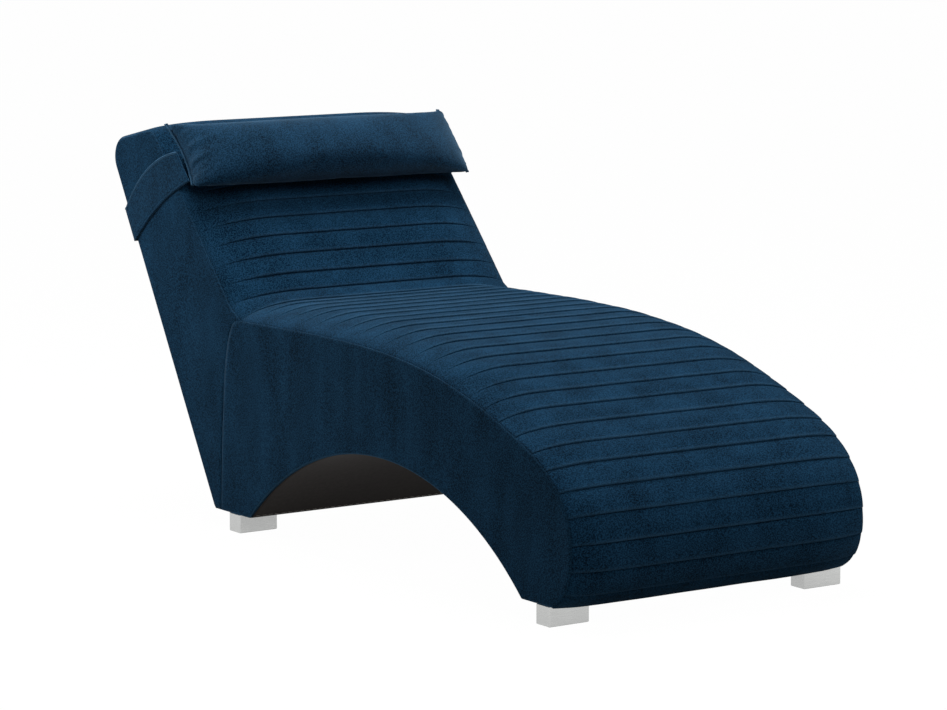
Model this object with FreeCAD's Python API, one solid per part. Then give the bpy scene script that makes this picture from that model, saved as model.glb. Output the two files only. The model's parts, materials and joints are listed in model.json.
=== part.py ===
import FreeCAD, Part
import math
import os

os.makedirs("parts", exist_ok=True)

# An upholstered chaise longue: a wooden carcass with zigzag springs, foam, a channel-quilted
# velvet cover, four metal block feet and a head cushion on an elastic strap.
# X runs across the seat, Y from the foot end to the head end, Z up from the floor.
# Lengths are in millimetres, angles in degrees.

# The side view
WIDTH = 700.0
BASE_HEIGHT = 38.0
SEAT_HEIGHT = 448.0
SEAT_REACH = 1165.0
FOLD_RUN = 52.0
FOLD_ANGLE = 30.0
BACK_LENGTH = 471.0
BACK_ANGLE = 47.7
TOP_DEPTH = 195.0
TOP_FALL = 11.3
TOP_FRONT_RADIUS = 45.0
TOP_REAR_RADIUS = 45.0
REAR_ANGLE = 59.5
ARCH_RISE = 197.0
ARCH_TO_NOSE_SEAM = 97.0
ARCH_TO_FOLD = 28.0
SIDE_SEAM_FOOT = 76.0
SIDE_SEAM_BOW = 18.0

# The seat line from the underside of the nose to the fold, as shares of reach and height
SEAT_SHAPE = [(0.947, 0.0), (0.972, 0.047), (0.995, 0.155), (1.0, 0.273), (0.991, 0.406),
              (0.969, 0.512), (0.926, 0.622), (0.843, 0.739), (0.693, 0.885), (0.564, 0.963),
              (0.298, 1.012), (0.0, 1.0)]

# The quilted cover
SEAT_CHANNEL = 53.0
BACK_CHANNEL = 46.5
CHANNEL_SWELL = 4.0
EDGE_SWELL = 1.2
PLAIN_SWELL = 1.0
CROWN_RUN_SEAT = 130.0
CROWN_RUN_BACK = 170.0
SEAT_ROUNDNESS = 1.0
BACK_ROUNDNESS = 0.6
SEAT_CROWN = [(0.0, 4.0), (0.1, 13.0), (0.22, 12.0), (0.3, 18.0), (0.45, 35.0), (1.0, 34.0)]
FULL_BACK_CROWN = 46.0
BACK_CROWN = [(0.0, 34.0), (0.3, FULL_BACK_CROWN), (0.75, FULL_BACK_CROWN), (1.0, 16.0)]
TOP_CROWN = [11.0, 8.0, 6.0, 4.0, 0.0]

# Thickness of each layer
LAY = 0.3
QUILT = 12.0
FOAM = 60.0
FELT = 3.0
TOP_FOAM = 35.0
SIDE_COVER = 8.0
REAR_COVER = 4.0
REAR_WADDING = 10.0
BACK_BOARD = 4.0
ARCH_BOARD = 3.0
LINING = 1.5

# The carcass
SIDE_FRAME = 20.0
PLYWOOD = 12.0
BASE_BOARD = 15.0
RAIL_THICKNESS = 25.0
RAIL_DEPTH = 80.0
BLOCK_LEG = 40.0
BLOCK_HEIGHT = 70.0
SCREW_RADIUS = 2.0
SCREW_LENGTH = 50.0
SCREW_HEAD_RADIUS = 4.0
SCREW_HEAD = 3.0
SCREW_PLAY = 0.2
HEAD_RAIL_DEPTH = 50.0
RAIL_SPREAD = 0.27
SPRING_ROOM = 14.0

# Zigzag springs and their clips
WIRE_RADIUS = 1.9
SPRING_BARS = 26
SPRING_HALF_WIDTH = 24.0
SPRING_END_GAP = 4.0
CLIP_SHEET = 1.2
CLIP_LENGTH = 20.0
CLIP_REACH = 16.0
CLIP_PLAY = 0.2

# Feet
FOOT_WIDTH = 92.0
FOOT_DEPTH = 43.0
FOOT_WALL = 2.0
FOOT_CORNER = 3.0
FRONT_FOOT_SETBACK = 3.8
REAR_FOOT_SETBACK = 36.5
GLIDE_HEIGHT = 5.0
GLIDE_PROUD = 1.0
GLIDE_PLAY = 0.2
FOOT_SCREW_RADIUS = 2.25
FOOT_SCREW_HEAD_RADIUS = 4.5
FOOT_SCREW_HEAD = 2.8
FOOT_SCREW_GRIP = 13.0
FOOT_SCREW_INNER = 17.0
FOOT_SCREW_SPACING = 30.0

# Head cushion and strap
CUSHION_LENGTH = WIDTH
CUSHION_HEIGHT = 160.0
CUSHION_THICKNESS = 104.0
CUSHION_SEAM = 8.0
CUSHION_BELOW_TOP = 152.0
CUSHION_CLEARANCE = 0.7
CUSHION_END_BACK = 67.0
CUSHION_SKIN = 1.5
FILLING_PLAY = 0.9
STRAP_WIDTH = 80.0
STRAP_THICKNESS = 2.5
STRAP_CLEARANCE = 0.3
STRAP_BELOW_MIDDLE = 36.0
STRAP_BELOW_REAR_TOP = 161.0
STRAP_UPPER_BOW = 27.0
STRAP_LOWER_BOW = 15.0

HALF_WIDTH = WIDTH / 2
HALF_INSIDE = HALF_WIDTH - SIDE_COVER
HALF_CARCASS = HALF_INSIDE - SIDE_FRAME


def yz(y, z):
    return FreeCAD.Vector(0, y, z)


def heading(angle):
    """Unit vector in the side view; 0 points to the head end and 90 points up."""
    return yz(math.cos(math.radians(angle)), math.sin(math.radians(angle)))


def left_of(direction):
    """The direction turned a quarter turn anticlockwise in the side view."""
    return yz(-direction.z, direction.y)


def meet(point_a, angle_a, point_b, angle_b):
    """Where the line through point_a at angle_a crosses the line through point_b."""
    along = heading(angle_a)
    across = left_of(heading(angle_b))
    return point_a + along * ((point_b - point_a).dot(across) / along.dot(across))


def between(table, share):
    """Straight-line interpolation in a table of (share, value)."""
    for (a, low), (b, high) in zip(table, table[1:]):
        if share <= b:
            return low + (high - low) * (share - a) / (b - a)
    return table[-1][1]


def span(start, middle, end):
    """An arc through three points, or a line where they lie in a row."""
    chord = end - start
    if (middle - start).cross(chord).Length < 1e-3 * chord.Length:
        return Part.LineSegment(start, end).toShape()
    return Part.Arc(start, middle, end).toShape()


def line(start, end):
    return Part.LineSegment(start, end).toShape()


def polyline(points):
    return [line(a, b) for a, b in zip(points, points[1:])]


def slab(edges, x_start, x_end):
    """The closed outline of a side view, carried across from x_start to x_end."""
    face = Part.Face(Part.Wire(edges))
    face.translate(FreeCAD.Vector(x_start, 0, 0))
    return face.extrude(FreeCAD.Vector(x_end - x_start, 0, 0))


def board(points, x_start, x_end):
    return slab(polyline(points + points[:1]), x_start, x_end)


def rod(start, direction, length, radius):
    return Part.makeCylinder(radius, length, start, direction)


def across_pair(make):
    """Left and right copies of a piece made for one side, -1 or +1."""
    return make(-1), make(1)


# The outline of the body, seen from the side

FOLD = yz(0, SEAT_HEIGHT)


def seat_curve():
    """Smooth line through SEAT_SHAPE, from under the nose to the fold."""
    rise = SEAT_HEIGHT - BASE_HEIGHT
    points = [yz(-a * SEAT_REACH, BASE_HEIGHT + b * rise) for a, b in SEAT_SHAPE]
    curve = Part.BSplineCurve()
    curve.interpolate(Points=points)
    return curve


def seat_points(curve, count):
    """Points at equal steps along the seat line."""
    start = curve.FirstParameter
    step = curve.length() / count
    return [curve.value(curve.parameterAtDistance(step * i, start)) for i in range(count + 1)]


def rounded_corner(corner, angle_in, angle_out, radius):
    """Start, middle and end of the arc that rounds a corner turning clockwise."""
    turn = math.radians(angle_in - angle_out)
    reach = radius * math.tan(turn / 2)
    start = corner - heading(angle_in) * reach
    end = corner + heading(angle_out) * reach
    centre = start - left_of(heading(angle_in)) * radius
    middle = centre + left_of(heading((angle_in + angle_out) / 2)) * radius
    return [start, middle, end]


BACK_START = FOLD + heading(FOLD_ANGLE) * FOLD_RUN
TOP_FRONT = BACK_START + heading(BACK_ANGLE) * BACK_LENGTH
TOP_REAR = TOP_FRONT + heading(-TOP_FALL) * TOP_DEPTH
REAR_FOOT = meet(TOP_REAR, REAR_ANGLE, yz(0, BASE_HEIGHT), 0)
FRONT_ROUND = rounded_corner(TOP_FRONT, BACK_ANGLE, -TOP_FALL, TOP_FRONT_RADIUS)
REAR_ROUND = rounded_corner(TOP_REAR, -TOP_FALL, REAR_ANGLE - 180, TOP_REAR_RADIUS)

SEAT_CURVE = seat_curve()
SEAT_COUNT = round(SEAT_CURVE.length() / SEAT_CHANNEL)
HALF_STEPS = seat_points(SEAT_CURVE, 2 * SEAT_COUNT)
BACK_STRAIGHT = (FRONT_ROUND[0] - BACK_START).Length
BACK_COUNT = round(BACK_STRAIGHT / BACK_CHANNEL)
BACK_SEAMS = [BACK_START + heading(BACK_ANGLE) * (BACK_STRAIGHT * i / BACK_COUNT)
              for i in range(BACK_COUNT + 1)]

# SEAMS run from under the nose, over seat and back, to the rear edge of the top; MIDDLES lie
# halfway between them on the same outline.
SEAMS = HALF_STEPS[::2] + BACK_SEAMS + FRONT_ROUND[1:] + REAR_ROUND
FOLD_SEAM = SEAT_COUNT
TOP_SEAM = SEAT_COUNT + 1 + BACK_COUNT
LAST_SEAM = len(SEAMS) - 1
NOSE_SEAM = next(i for i in range(FOLD_SEAM) if SEAMS[i + 1].y - SEAMS[i].y > abs(
    SEAMS[i + 1].z - SEAMS[i].z))


def arc_middle(start, end, radius):
    """The point halfway round an arc of the given radius that bulges outwards."""
    half = (end - start) * 0.5
    bulge = radius - math.sqrt(radius ** 2 - half.Length ** 2)
    return start + half + left_of(half).normalize() * bulge


def outline_middles():
    middles = HALF_STEPS[1::2]
    for i in range(FOLD_SEAM, LAST_SEAM):
        start = SEAMS[i]
        end = SEAMS[i + 1]
        if TOP_SEAM <= i < TOP_SEAM + 2:
            middles.append(arc_middle(start, end, TOP_FRONT_RADIUS))
        elif i >= TOP_SEAM + 3:
            middles.append(arc_middle(start, end, TOP_REAR_RADIUS))
        else:
            middles.append((start + end) * 0.5)
    return middles


def outline_normals():
    """Mitred outward direction at every seam, so that layers keep their thickness."""
    chords = [(b - a).normalize() for a, b in zip(SEAMS, SEAMS[1:])]
    before = chords[:1] + chords
    after = chords + [heading(REAR_ANGLE - 180)]
    normals = []
    for a, b in zip(before, after):
        total = left_of(a) + left_of(b)
        normals.append(total * (2 / total.dot(total)))
    return normals[:-1] + [left_of(heading(REAR_ANGLE - 180))]


MIDDLES = outline_middles()
NORMALS = outline_normals()


def crown_heights():
    """How far the middle of the seat and back stands proud of the side seams."""
    seat = [between(SEAT_CROWN, i / FOLD_SEAM) for i in range(FOLD_SEAM + 1)]
    back = [between(BACK_CROWN, i / BACK_COUNT) for i in range(BACK_COUNT + 1)]
    return seat + back + TOP_CROWN


CROWNS = crown_heights()


def crown(i, x):
    """Crown of seam i at x: a rounded rise from the side, then level to the middle."""
    if i <= FOLD_SEAM:
        run = CROWN_RUN_SEAT
        roundness = SEAT_ROUNDNESS
    else:
        run = CROWN_RUN_BACK
        roundness = BACK_ROUNDNESS
    inwards = min(HALF_INSIDE - abs(x), run)
    return CROWNS[i] * (1 - (1 - inwards / run) ** 2) ** roundness


def swell(i, x):
    """Height of the roll between seam i and the next."""
    full = CHANNEL_SWELL if i < TOP_SEAM else PLAIN_SWELL
    inwards = min((HALF_INSIDE - abs(x)) / CROWN_RUN_SEAT, 1)
    return EDGE_SWELL + (full - EDGE_SWELL) * (1 - (1 - inwards) ** 2)


def layer_point(i, x, depth, crowned=True):
    point = SEAMS[i] + NORMALS[i] * ((crown(i, x) if crowned else 0) - depth)
    return FreeCAD.Vector(x, point.y, point.z)


def roll(i, x):
    """One channel of the quilted cover at x, from seam i to the next."""
    start = layer_point(i, x, 0)
    end = layer_point(i + 1, x, 0)
    outwards = left_of(SEAMS[i + 1] - SEAMS[i]).normalize()
    rise = (crown(i, x) + crown(i + 1, x)) / 2 + swell(i, x)
    middle = MIDDLES[i] + outwards * rise
    return Part.Arc(start, FreeCAD.Vector(x, middle.y, middle.z), end).toShape()


CROWN_STEPS = [0.0, 0.035, 0.1, 0.2, 0.33, 0.5, 0.72, 1.0]


def stations():
    """Places across the seat where sections are taken, closer together near the sides."""
    right = [HALF_INSIDE * (1 - step) for step in CROWN_STEPS]
    return [-x for x in right] + right[-2::-1]


def padded(section):
    """A soft solid through the sections that section(x) gives across the seat."""
    wires = [Part.Wire(section(x)) for x in stations()]
    return Part.makeLoft(wires, True, False)


def quilted(first, last):
    """A channelled cover from seam first to seam last."""
    def section(x):
        outer = [roll(i, x) for i in range(first, last)]
        under = [layer_point(i, x, QUILT) for i in range(last, first - 1, -1)]
        ends = [layer_point(last, x, 0)] + under + [layer_point(first, x, 0)]
        return outer + polyline(ends)
    return padded(section)


def foam(first, last, inner):
    """Foam from seam first to seam last; inner lists its underside from last to first."""
    def section(x):
        outer = [layer_point(i, x, QUILT + LAY) for i in range(first, last + 1)]
        under = [FreeCAD.Vector(x, p.y, p.z) for p in inner]
        return polyline(outer + under + outer[:1])
    return padded(section)


def at_depth(first, last, depth):
    """Points of the outline from seam first to seam last, at a depth below it."""
    step = 1 if last >= first else -1
    return [SEAMS[i] - NORMALS[i] * depth for i in range(first, last + step, step)]


FOAM_DEPTH = QUILT + LAY + FOAM
FELT_DEPTH = FOAM_DEPTH + LAY + FELT
FRAME_DEPTH = FELT_DEPTH + LAY
TOP_FRAME_DEPTH = QUILT + LAY + TOP_FOAM + LAY
REAR_FRAME_DEPTH = REAR_COVER + REAR_WADDING + BACK_BOARD + 3 * LAY
FRAME_BOTTOM = BASE_HEIGHT + LINING + LAY
BASE_BOARD_TOP = FRAME_BOTTOM + BASE_BOARD


def frame_top(play):
    """Front and rear corners of the frame's top edge, or of what lies play outside it."""
    slope = at_depth(TOP_SEAM, TOP_SEAM, FRAME_DEPTH - play)[0]
    top = TOP_FRONT - left_of(heading(-TOP_FALL)) * (TOP_FRAME_DEPTH - play)
    rear = TOP_REAR + left_of(heading(REAR_ANGLE)) * (REAR_FRAME_DEPTH - play)
    return [meet(slope, BACK_ANGLE, top, -TOP_FALL), meet(rear, REAR_ANGLE, top, -TOP_FALL)]


def rear_strip(shallow, deep, top, bottom):
    """Outline of a flat layer along the rear face, between two depths."""
    inwards = left_of(heading(REAR_ANGLE))
    floor_point = yz(0, bottom)
    ends = [top + inwards * shallow, top + inwards * deep]
    feet = [meet(p, REAR_ANGLE, floor_point, 0) for p in reversed(ends)]
    return ends + feet


# The arch under the seat

ARCH_FRONT = SEAMS[0].y + ARCH_TO_NOSE_SEAM
ARCH_REAR = -ARCH_TO_FOLD
ARCH_MIDDLE = (ARCH_FRONT + ARCH_REAR) / 2
ARCH_SPAN = ARCH_REAR - ARCH_FRONT
ARCH_RADIUS = ((ARCH_SPAN / 2) ** 2 + ARCH_RISE ** 2) / (2 * ARCH_RISE)
ARCH_CENTRE = yz(ARCH_MIDDLE, BASE_HEIGHT + ARCH_RISE - ARCH_RADIUS)


def arch_height(y, lift):
    """Height of the arch at y, for a layer that lies lift above its underside."""
    return ARCH_CENTRE.z + math.sqrt((ARCH_RADIUS + lift) ** 2 - (y - ARCH_CENTRE.y) ** 2)


def arch_foot(z, lift, side):
    """Where that layer meets height z, towards the foot end (-1) or the head end (+1)."""
    return yz(ARCH_CENTRE.y + side * math.sqrt((ARCH_RADIUS + lift) ** 2
                                               - (z - ARCH_CENTRE.z) ** 2), z)


def arch_arc(z, lift):
    """The arch from its rear foot to its front foot."""
    crest = yz(ARCH_MIDDLE, arch_height(ARCH_MIDDLE, lift))
    return Part.Arc(arch_foot(z, lift, 1), crest, arch_foot(z, lift, -1)).toShape()


def arch_layer(lift, thickness, z):
    under = arch_arc(z, lift)
    over = arch_arc(z, lift + thickness)
    ends = [line(arch_foot(z, lift, side), arch_foot(z, lift + thickness, side))
            for side in (-1, 1)]
    return slab(Part.sortEdges([under, over] + ends)[0], -HALF_INSIDE, HALF_INSIDE)


ARCH_BOARD_LIFT = LINING + LAY
FRAME_ARCH_LIFT = ARCH_BOARD_LIFT + ARCH_BOARD + LAY

# The carcass

FRONT_FACE = at_depth(NOSE_SEAM, NOSE_SEAM, FRAME_DEPTH)[0]
BASE_FRONT = yz(at_depth(0, 0, QUILT + LAY)[0].y + LAY, FRAME_BOTTOM)
REAR_CORNER = meet(TOP_REAR + left_of(heading(REAR_ANGLE)) * REAR_FRAME_DEPTH, REAR_ANGLE,
                   BASE_FRONT, 0)


def side_frame_outline():
    frame_front = [BASE_FRONT, yz(BASE_FRONT.y, BASE_BOARD_TOP), yz(FRONT_FACE.y, BASE_BOARD_TOP)]
    slopes = at_depth(NOSE_SEAM, TOP_SEAM, FRAME_DEPTH)
    points = [arch_foot(FRAME_BOTTOM, FRAME_ARCH_LIFT, -1)] + frame_front + slopes
    points += frame_top(0) + [REAR_CORNER, arch_foot(FRAME_BOTTOM, FRAME_ARCH_LIFT, 1)]
    return polyline(points) + [arch_arc(FRAME_BOTTOM, FRAME_ARCH_LIFT)]


def rail(middle, thickness, depth, angle):
    """A rail across the carcass; its depth lies along the angle."""
    along = heading(angle) * (depth / 2)
    aside = left_of(heading(angle)) * (thickness / 2)
    corners = [middle - along - aside, middle + along - aside, middle + along + aside,
               middle - along + aside]
    return board(corners, -HALF_CARCASS, HALF_CARCASS)


def spring_line_height(y):
    """Height at y of the line just below the seat springs."""
    line_points = at_depth(NOSE_SEAM, FOLD_SEAM, FRAME_DEPTH + SPRING_ROOM)
    return between([(p.y, p.z) for p in line_points], y)


def seat_rail(share):
    """An upright rail that fills the height between the arch board and the springs."""
    y = ARCH_MIDDLE + ARCH_SPAN * share
    edges = (y - RAIL_THICKNESS / 2, y + RAIL_THICKNESS / 2)
    bottom = max(arch_height(edge, FRAME_ARCH_LIFT) for edge in edges)
    top = min(spring_line_height(edge) for edge in edges)
    return yz(y, (bottom + top) / 2), top - bottom, 90


def along_rear(distance):
    """Middle of a rail that lies against the rear edge of the frame."""
    inwards = left_of(heading(REAR_ANGLE)) * (RAIL_THICKNESS / 2)
    return REAR_HEEL + heading(REAR_ANGLE) * distance + inwards


HEAD_CORNERS = frame_top(0)
HEAD_MIDDLE = (HEAD_CORNERS[0] + HEAD_CORNERS[1]) * 0.5
REAR_HEEL = meet(REAR_CORNER, REAR_ANGLE, yz(0, BASE_BOARD_TOP), 0)
BACK_RAIL_UP = 0.6 * (HEAD_CORNERS[1] - REAR_HEEL).Length
RAILS = {
    "seat_rail_front": seat_rail(-RAIL_SPREAD),
    "seat_rail_middle": seat_rail(0),
    "seat_rail_rear": seat_rail(RAIL_SPREAD),
    "fold_rail": (at_depth(FOLD_SEAM, FOLD_SEAM, FRAME_DEPTH + SPRING_ROOM + RAIL_DEPTH / 2)[0],
                  RAIL_DEPTH, 90),
    "back_rail": (along_rear(BACK_RAIL_UP), RAIL_DEPTH, REAR_ANGLE),
    "head_rail": (HEAD_MIDDLE - left_of(heading(-TOP_FALL)) * (RAIL_THICKNESS / 2),
                  HEAD_RAIL_DEPTH, -TOP_FALL),
    "rear_base_rail": (along_rear(RAIL_DEPTH), RAIL_DEPTH, REAR_ANGLE),
}


def rail_screw_places(middle, depth, angle):
    """Two screw axes for each end of a rail."""
    return [middle + heading(angle) * (side * depth / 4) for side in (-1, 1)]


def screw(point, side, play=0.0):
    """A countersunk screw along X, driven from the outer face of a side frame."""
    outer = FreeCAD.Vector(side * HALF_INSIDE, point.y, point.z)
    inwards = FreeCAD.Vector(-side, 0, 0)
    head = rod(outer, inwards, SCREW_HEAD, SCREW_HEAD_RADIUS + play)
    shank = rod(outer, inwards, SCREW_LENGTH + play, SCREW_RADIUS + play)
    return head.fuse(shank).removeSplitter()


def board_between(y_start, y_end, bottom, top, half_width):
    return board([yz(y_start, bottom), yz(y_end, bottom), yz(y_end, top), yz(y_start, top)],
                 -half_width, half_width)


def corner_block(y, z, toward):
    """Glue blocks, left and right, in the corners behind an upright board."""
    def block(side):
        x = side * HALF_CARCASS
        corners = [FreeCAD.Vector(x, y, z), FreeCAD.Vector(x - side * BLOCK_LEG, y, z),
                   FreeCAD.Vector(x, y + toward * BLOCK_LEG, z)]
        face = Part.Face(Part.Wire(polyline(corners + corners[:1])))
        return face.extrude(FreeCAD.Vector(0, 0, BLOCK_HEIGHT))
    return list(across_pair(block))


# Zigzag springs

SPRING_DEPTH = FELT_DEPTH + LAY + CLIP_SHEET + CLIP_PLAY + WIRE_RADIUS
SPRING_END = HALF_CARCASS - SPRING_END_GAP


def zigzag_spring():
    """One spring across the carcass: bars along Y, joined by half turns at their ends."""
    pitch = 2 * SPRING_END / (SPRING_BARS - 1)
    turn = pitch / 2
    bar = SPRING_HALF_WIDTH - turn
    diagonal = turn * math.sqrt(0.5)
    edges = []
    for i in range(SPRING_BARS):
        x = -SPRING_END + pitch * i
        side = 1 if i % 2 == 0 else -1
        end = FreeCAD.Vector(x, side * bar, 0)
        edges.append(line(FreeCAD.Vector(x, -side * bar, 0), end))
        if i < SPRING_BARS - 1:
            centre = end + FreeCAD.Vector(turn, 0, 0)
            crest = centre + FreeCAD.Vector(0, side * turn, 0)
            for x_side, first, last in ((-1, end, crest),
                                        (1, crest, end + FreeCAD.Vector(pitch, 0, 0))):
                middle = centre + FreeCAD.Vector(x_side * diagonal, side * diagonal, 0)
                edges.append(Part.Arc(first, middle, last).toShape())
    start = edges[0].Vertexes[0].Point
    ring = Part.Wire(Part.makeCircle(WIRE_RADIUS, start, FreeCAD.Vector(0, 1, 0)))
    return Part.Wire(edges).makePipeShell([ring], True, False)


def spring_clip(side):
    """A folded steel clip on the inner face of a side frame, open towards the spring."""
    wall = HALF_CARCASS
    reach = wall - CLIP_REACH
    lip = WIRE_RADIUS + CLIP_PLAY
    outer = lip + CLIP_SHEET
    profile = [(wall, -outer), (reach, -outer), (reach, -lip), (wall - CLIP_SHEET, -lip),
               (wall - CLIP_SHEET, lip), (reach, lip), (reach, outer), (wall, outer)]
    corners = [FreeCAD.Vector(side * x, -CLIP_LENGTH / 2, z) for x, z in profile]
    face = Part.Face(Part.Wire(polyline(corners + corners[:1])))
    return face.extrude(FreeCAD.Vector(0, CLIP_LENGTH, 0))


def spring_places(first, last):
    """Middles and tilt of every second channel, where the springs lie."""
    places = []
    line_points = at_depth(first, last, SPRING_DEPTH)
    for a, b in list(zip(line_points, line_points[1:]))[1::2]:
        chord = b - a
        places.append(((a + b) * 0.5, math.degrees(math.atan2(chord.z, chord.y))))
    return places


def set_along(shape, places):
    """Copies of a shape, one at each place, tilted to lie along the outline."""
    copies = []
    for point, tilt in places:
        copy = shape.copy()
        copy.rotate(FreeCAD.Vector(), FreeCAD.Vector(1, 0, 0), tilt)
        copy.translate(point)
        copies.append(copy)
    return copies


# Feet

def foot_screw_axes(side):
    return [side * (HALF_CARCASS - FOOT_SCREW_INNER - FOOT_SCREW_SPACING * i) for i in (0, 1)]


def foot_screw(x, y, play=0.0):
    """A screw driven up from inside a foot into the base board."""
    head_z = BASE_HEIGHT - FOOT_WALL - FOOT_SCREW_HEAD
    up = FreeCAD.Vector(0, 0, 1)
    length = FOOT_SCREW_HEAD + FOOT_WALL + FOOT_SCREW_GRIP + play
    shank = rod(FreeCAD.Vector(x, y, head_z), up, length, FOOT_SCREW_RADIUS + play)
    head = rod(FreeCAD.Vector(x, y, head_z), up, FOOT_SCREW_HEAD, FOOT_SCREW_HEAD_RADIUS)
    return shank if play else head.fuse(shank).removeSplitter()


def foot(side, y):
    """A block foot folded from steel sheet: four walls and a top, open below."""
    x = min(side * HALF_WIDTH, side * (HALF_WIDTH - FOOT_WIDTH))
    height = BASE_HEIGHT - GLIDE_PROUD
    box = Part.makeBox(FOOT_WIDTH, FOOT_DEPTH, height, FreeCAD.Vector(x, y, GLIDE_PROUD))
    uprights = [e for e in box.Edges if abs(e.Length - height) < 1e-6
                and abs(e.tangentAt(e.FirstParameter).z) > 0.5]
    hollow = Part.makeBox(FOOT_WIDTH - 2 * FOOT_WALL, FOOT_DEPTH - 2 * FOOT_WALL,
                          height - FOOT_WALL,
                          FreeCAD.Vector(x + FOOT_WALL, y + FOOT_WALL, GLIDE_PROUD))
    return box.makeFillet(FOOT_CORNER, uprights).cut(hollow)


def glide(side, y):
    """A plastic plug that closes the foot from below and stands on the floor."""
    x = min(side * HALF_WIDTH, side * (HALF_WIDTH - FOOT_WIDTH))
    inset = FOOT_WALL + GLIDE_PLAY
    return Part.makeBox(FOOT_WIDTH - 2 * inset, FOOT_DEPTH - 2 * inset, GLIDE_HEIGHT,
                        FreeCAD.Vector(x + inset, y + inset, 0))


# Head cushion and strap

CUSHION_FLOOR = FULL_BACK_CROWN + CHANNEL_SWELL + CUSHION_CLEARANCE
UP_BACK = heading(BACK_ANGLE)
OFF_BACK = left_of(UP_BACK)
CUSHION_MIDDLE = (BACK_START + UP_BACK * (BACK_LENGTH - CUSHION_BELOW_TOP)
                  + OFF_BACK * (CUSHION_FLOOR + CUSHION_THICKNESS / 2))
CUSHION_END = CUSHION_MIDDLE + heading(0) * CUSHION_END_BACK
CUSHION_STEPS = [0.0, 0.012, 0.05, 0.12, 0.25, 0.45, 0.7, 1.0]
RING_POINTS = 16
RING_POWER = 2.3


def cushion_section(x, skin):
    """Closed ring of arcs: flat at the end seams, full in the middle."""
    share = abs(x) / (CUSHION_LENGTH / 2)
    fullness = math.sqrt(max(1 - share ** 3, 0))
    thick = CUSHION_SEAM + (CUSHION_THICKNESS - CUSHION_SEAM) * fullness
    centre = CUSHION_END + (CUSHION_MIDDLE - CUSHION_END) * fullness
    ring = []
    for i in range(RING_POINTS):
        angle = 2 * math.pi * (i + 0.5) / RING_POINTS
        up = math.copysign(abs(math.cos(angle)) ** (2 / RING_POWER), math.cos(angle))
        off = math.copysign(abs(math.sin(angle)) ** (2 / RING_POWER), math.sin(angle))
        point = (centre + UP_BACK * (up * (CUSHION_HEIGHT / 2 - skin))
                 + OFF_BACK * (off * (thick / 2 - skin)))
        ring.append(FreeCAD.Vector(x, point.y, point.z))
    ring.append(ring[0])
    return [Part.Arc(*ring[i:i + 3]).toShape() for i in range(0, RING_POINTS, 2)]


def cushion(skin):
    """The head cushion, or the filling that lies skin inside its cover."""
    half = CUSHION_LENGTH / 2 - skin
    right = [half * (1 - step) for step in CUSHION_STEPS]
    places = [-x for x in right] + right[-2::-1]
    wires = [Part.Wire(cushion_section(x, skin)) for x in places]
    return Part.makeLoft(wires, True, False)


REAR_OUTWARDS = left_of(heading(REAR_ANGLE)) * -1
STRAP_TOP = TOP_REAR - heading(REAR_ANGLE) * STRAP_BELOW_REAR_TOP + REAR_OUTWARDS * STRAP_CLEARANCE
STRAP_BOTTOM = STRAP_TOP - heading(REAR_ANGLE) * STRAP_WIDTH


def bowed(start, end, bow):
    """A shallow arc between two points that bows upwards."""
    chord = end - start
    return Part.Arc(start, start + chord * 0.5 + left_of(chord).normalize() * bow, end).toShape()


def strap_side(side):
    """The strap's run from the end of the cushion to the rear edge, flat on the side."""
    low = CUSHION_END - UP_BACK * (STRAP_BELOW_MIDDLE + STRAP_WIDTH / 2)
    high = low + UP_BACK * STRAP_WIDTH
    edges = [bowed(high, STRAP_TOP, STRAP_UPPER_BOW), line(STRAP_TOP, STRAP_BOTTOM),
             bowed(low, STRAP_BOTTOM, STRAP_LOWER_BOW), line(low, high)]
    inner = side * (HALF_WIDTH + STRAP_CLEARANCE)
    return slab(Part.sortEdges(edges)[0], inner, inner + side * STRAP_THICKNESS)


def strap_back():
    """The strap's run across the rear face."""
    outer = REAR_OUTWARDS * STRAP_THICKNESS
    half = HALF_WIDTH + STRAP_CLEARANCE + STRAP_THICKNESS
    return board([STRAP_TOP, STRAP_TOP + outer, STRAP_BOTTOM + outer, STRAP_BOTTOM], -half, half)


# Covers

def top_edge(first, last):
    """The side seam of the quilted cover, from seam first to seam last."""
    return [span(SEAMS[i], MIDDLES[i], SEAMS[i + 1]) for i in range(first, last)]


def side_seam(shift):
    """The upright seam of the side cover, from the fold down to the base."""
    move = yz(shift, 0)
    foot_point = yz(SIDE_SEAM_FOOT, BASE_HEIGHT) + move
    middle = (FOLD + foot_point) * 0.5 + heading(0) * SIDE_SEAM_BOW + move
    return Part.Arc(FOLD + move, middle, foot_point).toShape(), foot_point


def side_cover_seat(side):
    seam, seam_foot = side_seam(-LAY / 2)
    top = FOLD - heading(0) * (LAY / 2)
    edges = top_edge(0, FOLD_SEAM - 1) + [line(SEAMS[FOLD_SEAM - 1], top), seam]
    edges += [line(seam_foot, arch_foot(BASE_HEIGHT, 0, 1)), arch_arc(BASE_HEIGHT, 0),
              line(arch_foot(BASE_HEIGHT, 0, -1), SEAMS[0])]
    return slab(Part.sortEdges(edges)[0], side * HALF_INSIDE, side * HALF_WIDTH)


def side_cover_back(side):
    seam, seam_foot = side_seam(LAY / 2)
    top = FOLD + heading(0) * (LAY / 2)
    edges = [seam, line(top, SEAMS[FOLD_SEAM + 1])] + top_edge(FOLD_SEAM + 1, LAST_SEAM)
    edges += [line(SEAMS[LAST_SEAM], REAR_FOOT), line(REAR_FOOT, seam_foot)]
    return slab(Part.sortEdges(edges)[0], side * HALF_INSIDE, side * HALF_WIDTH)


def full_width(edges_or_points):
    return board(edges_or_points, -HALF_INSIDE, HALF_INSIDE)


nodes = {}

# Wood

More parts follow.
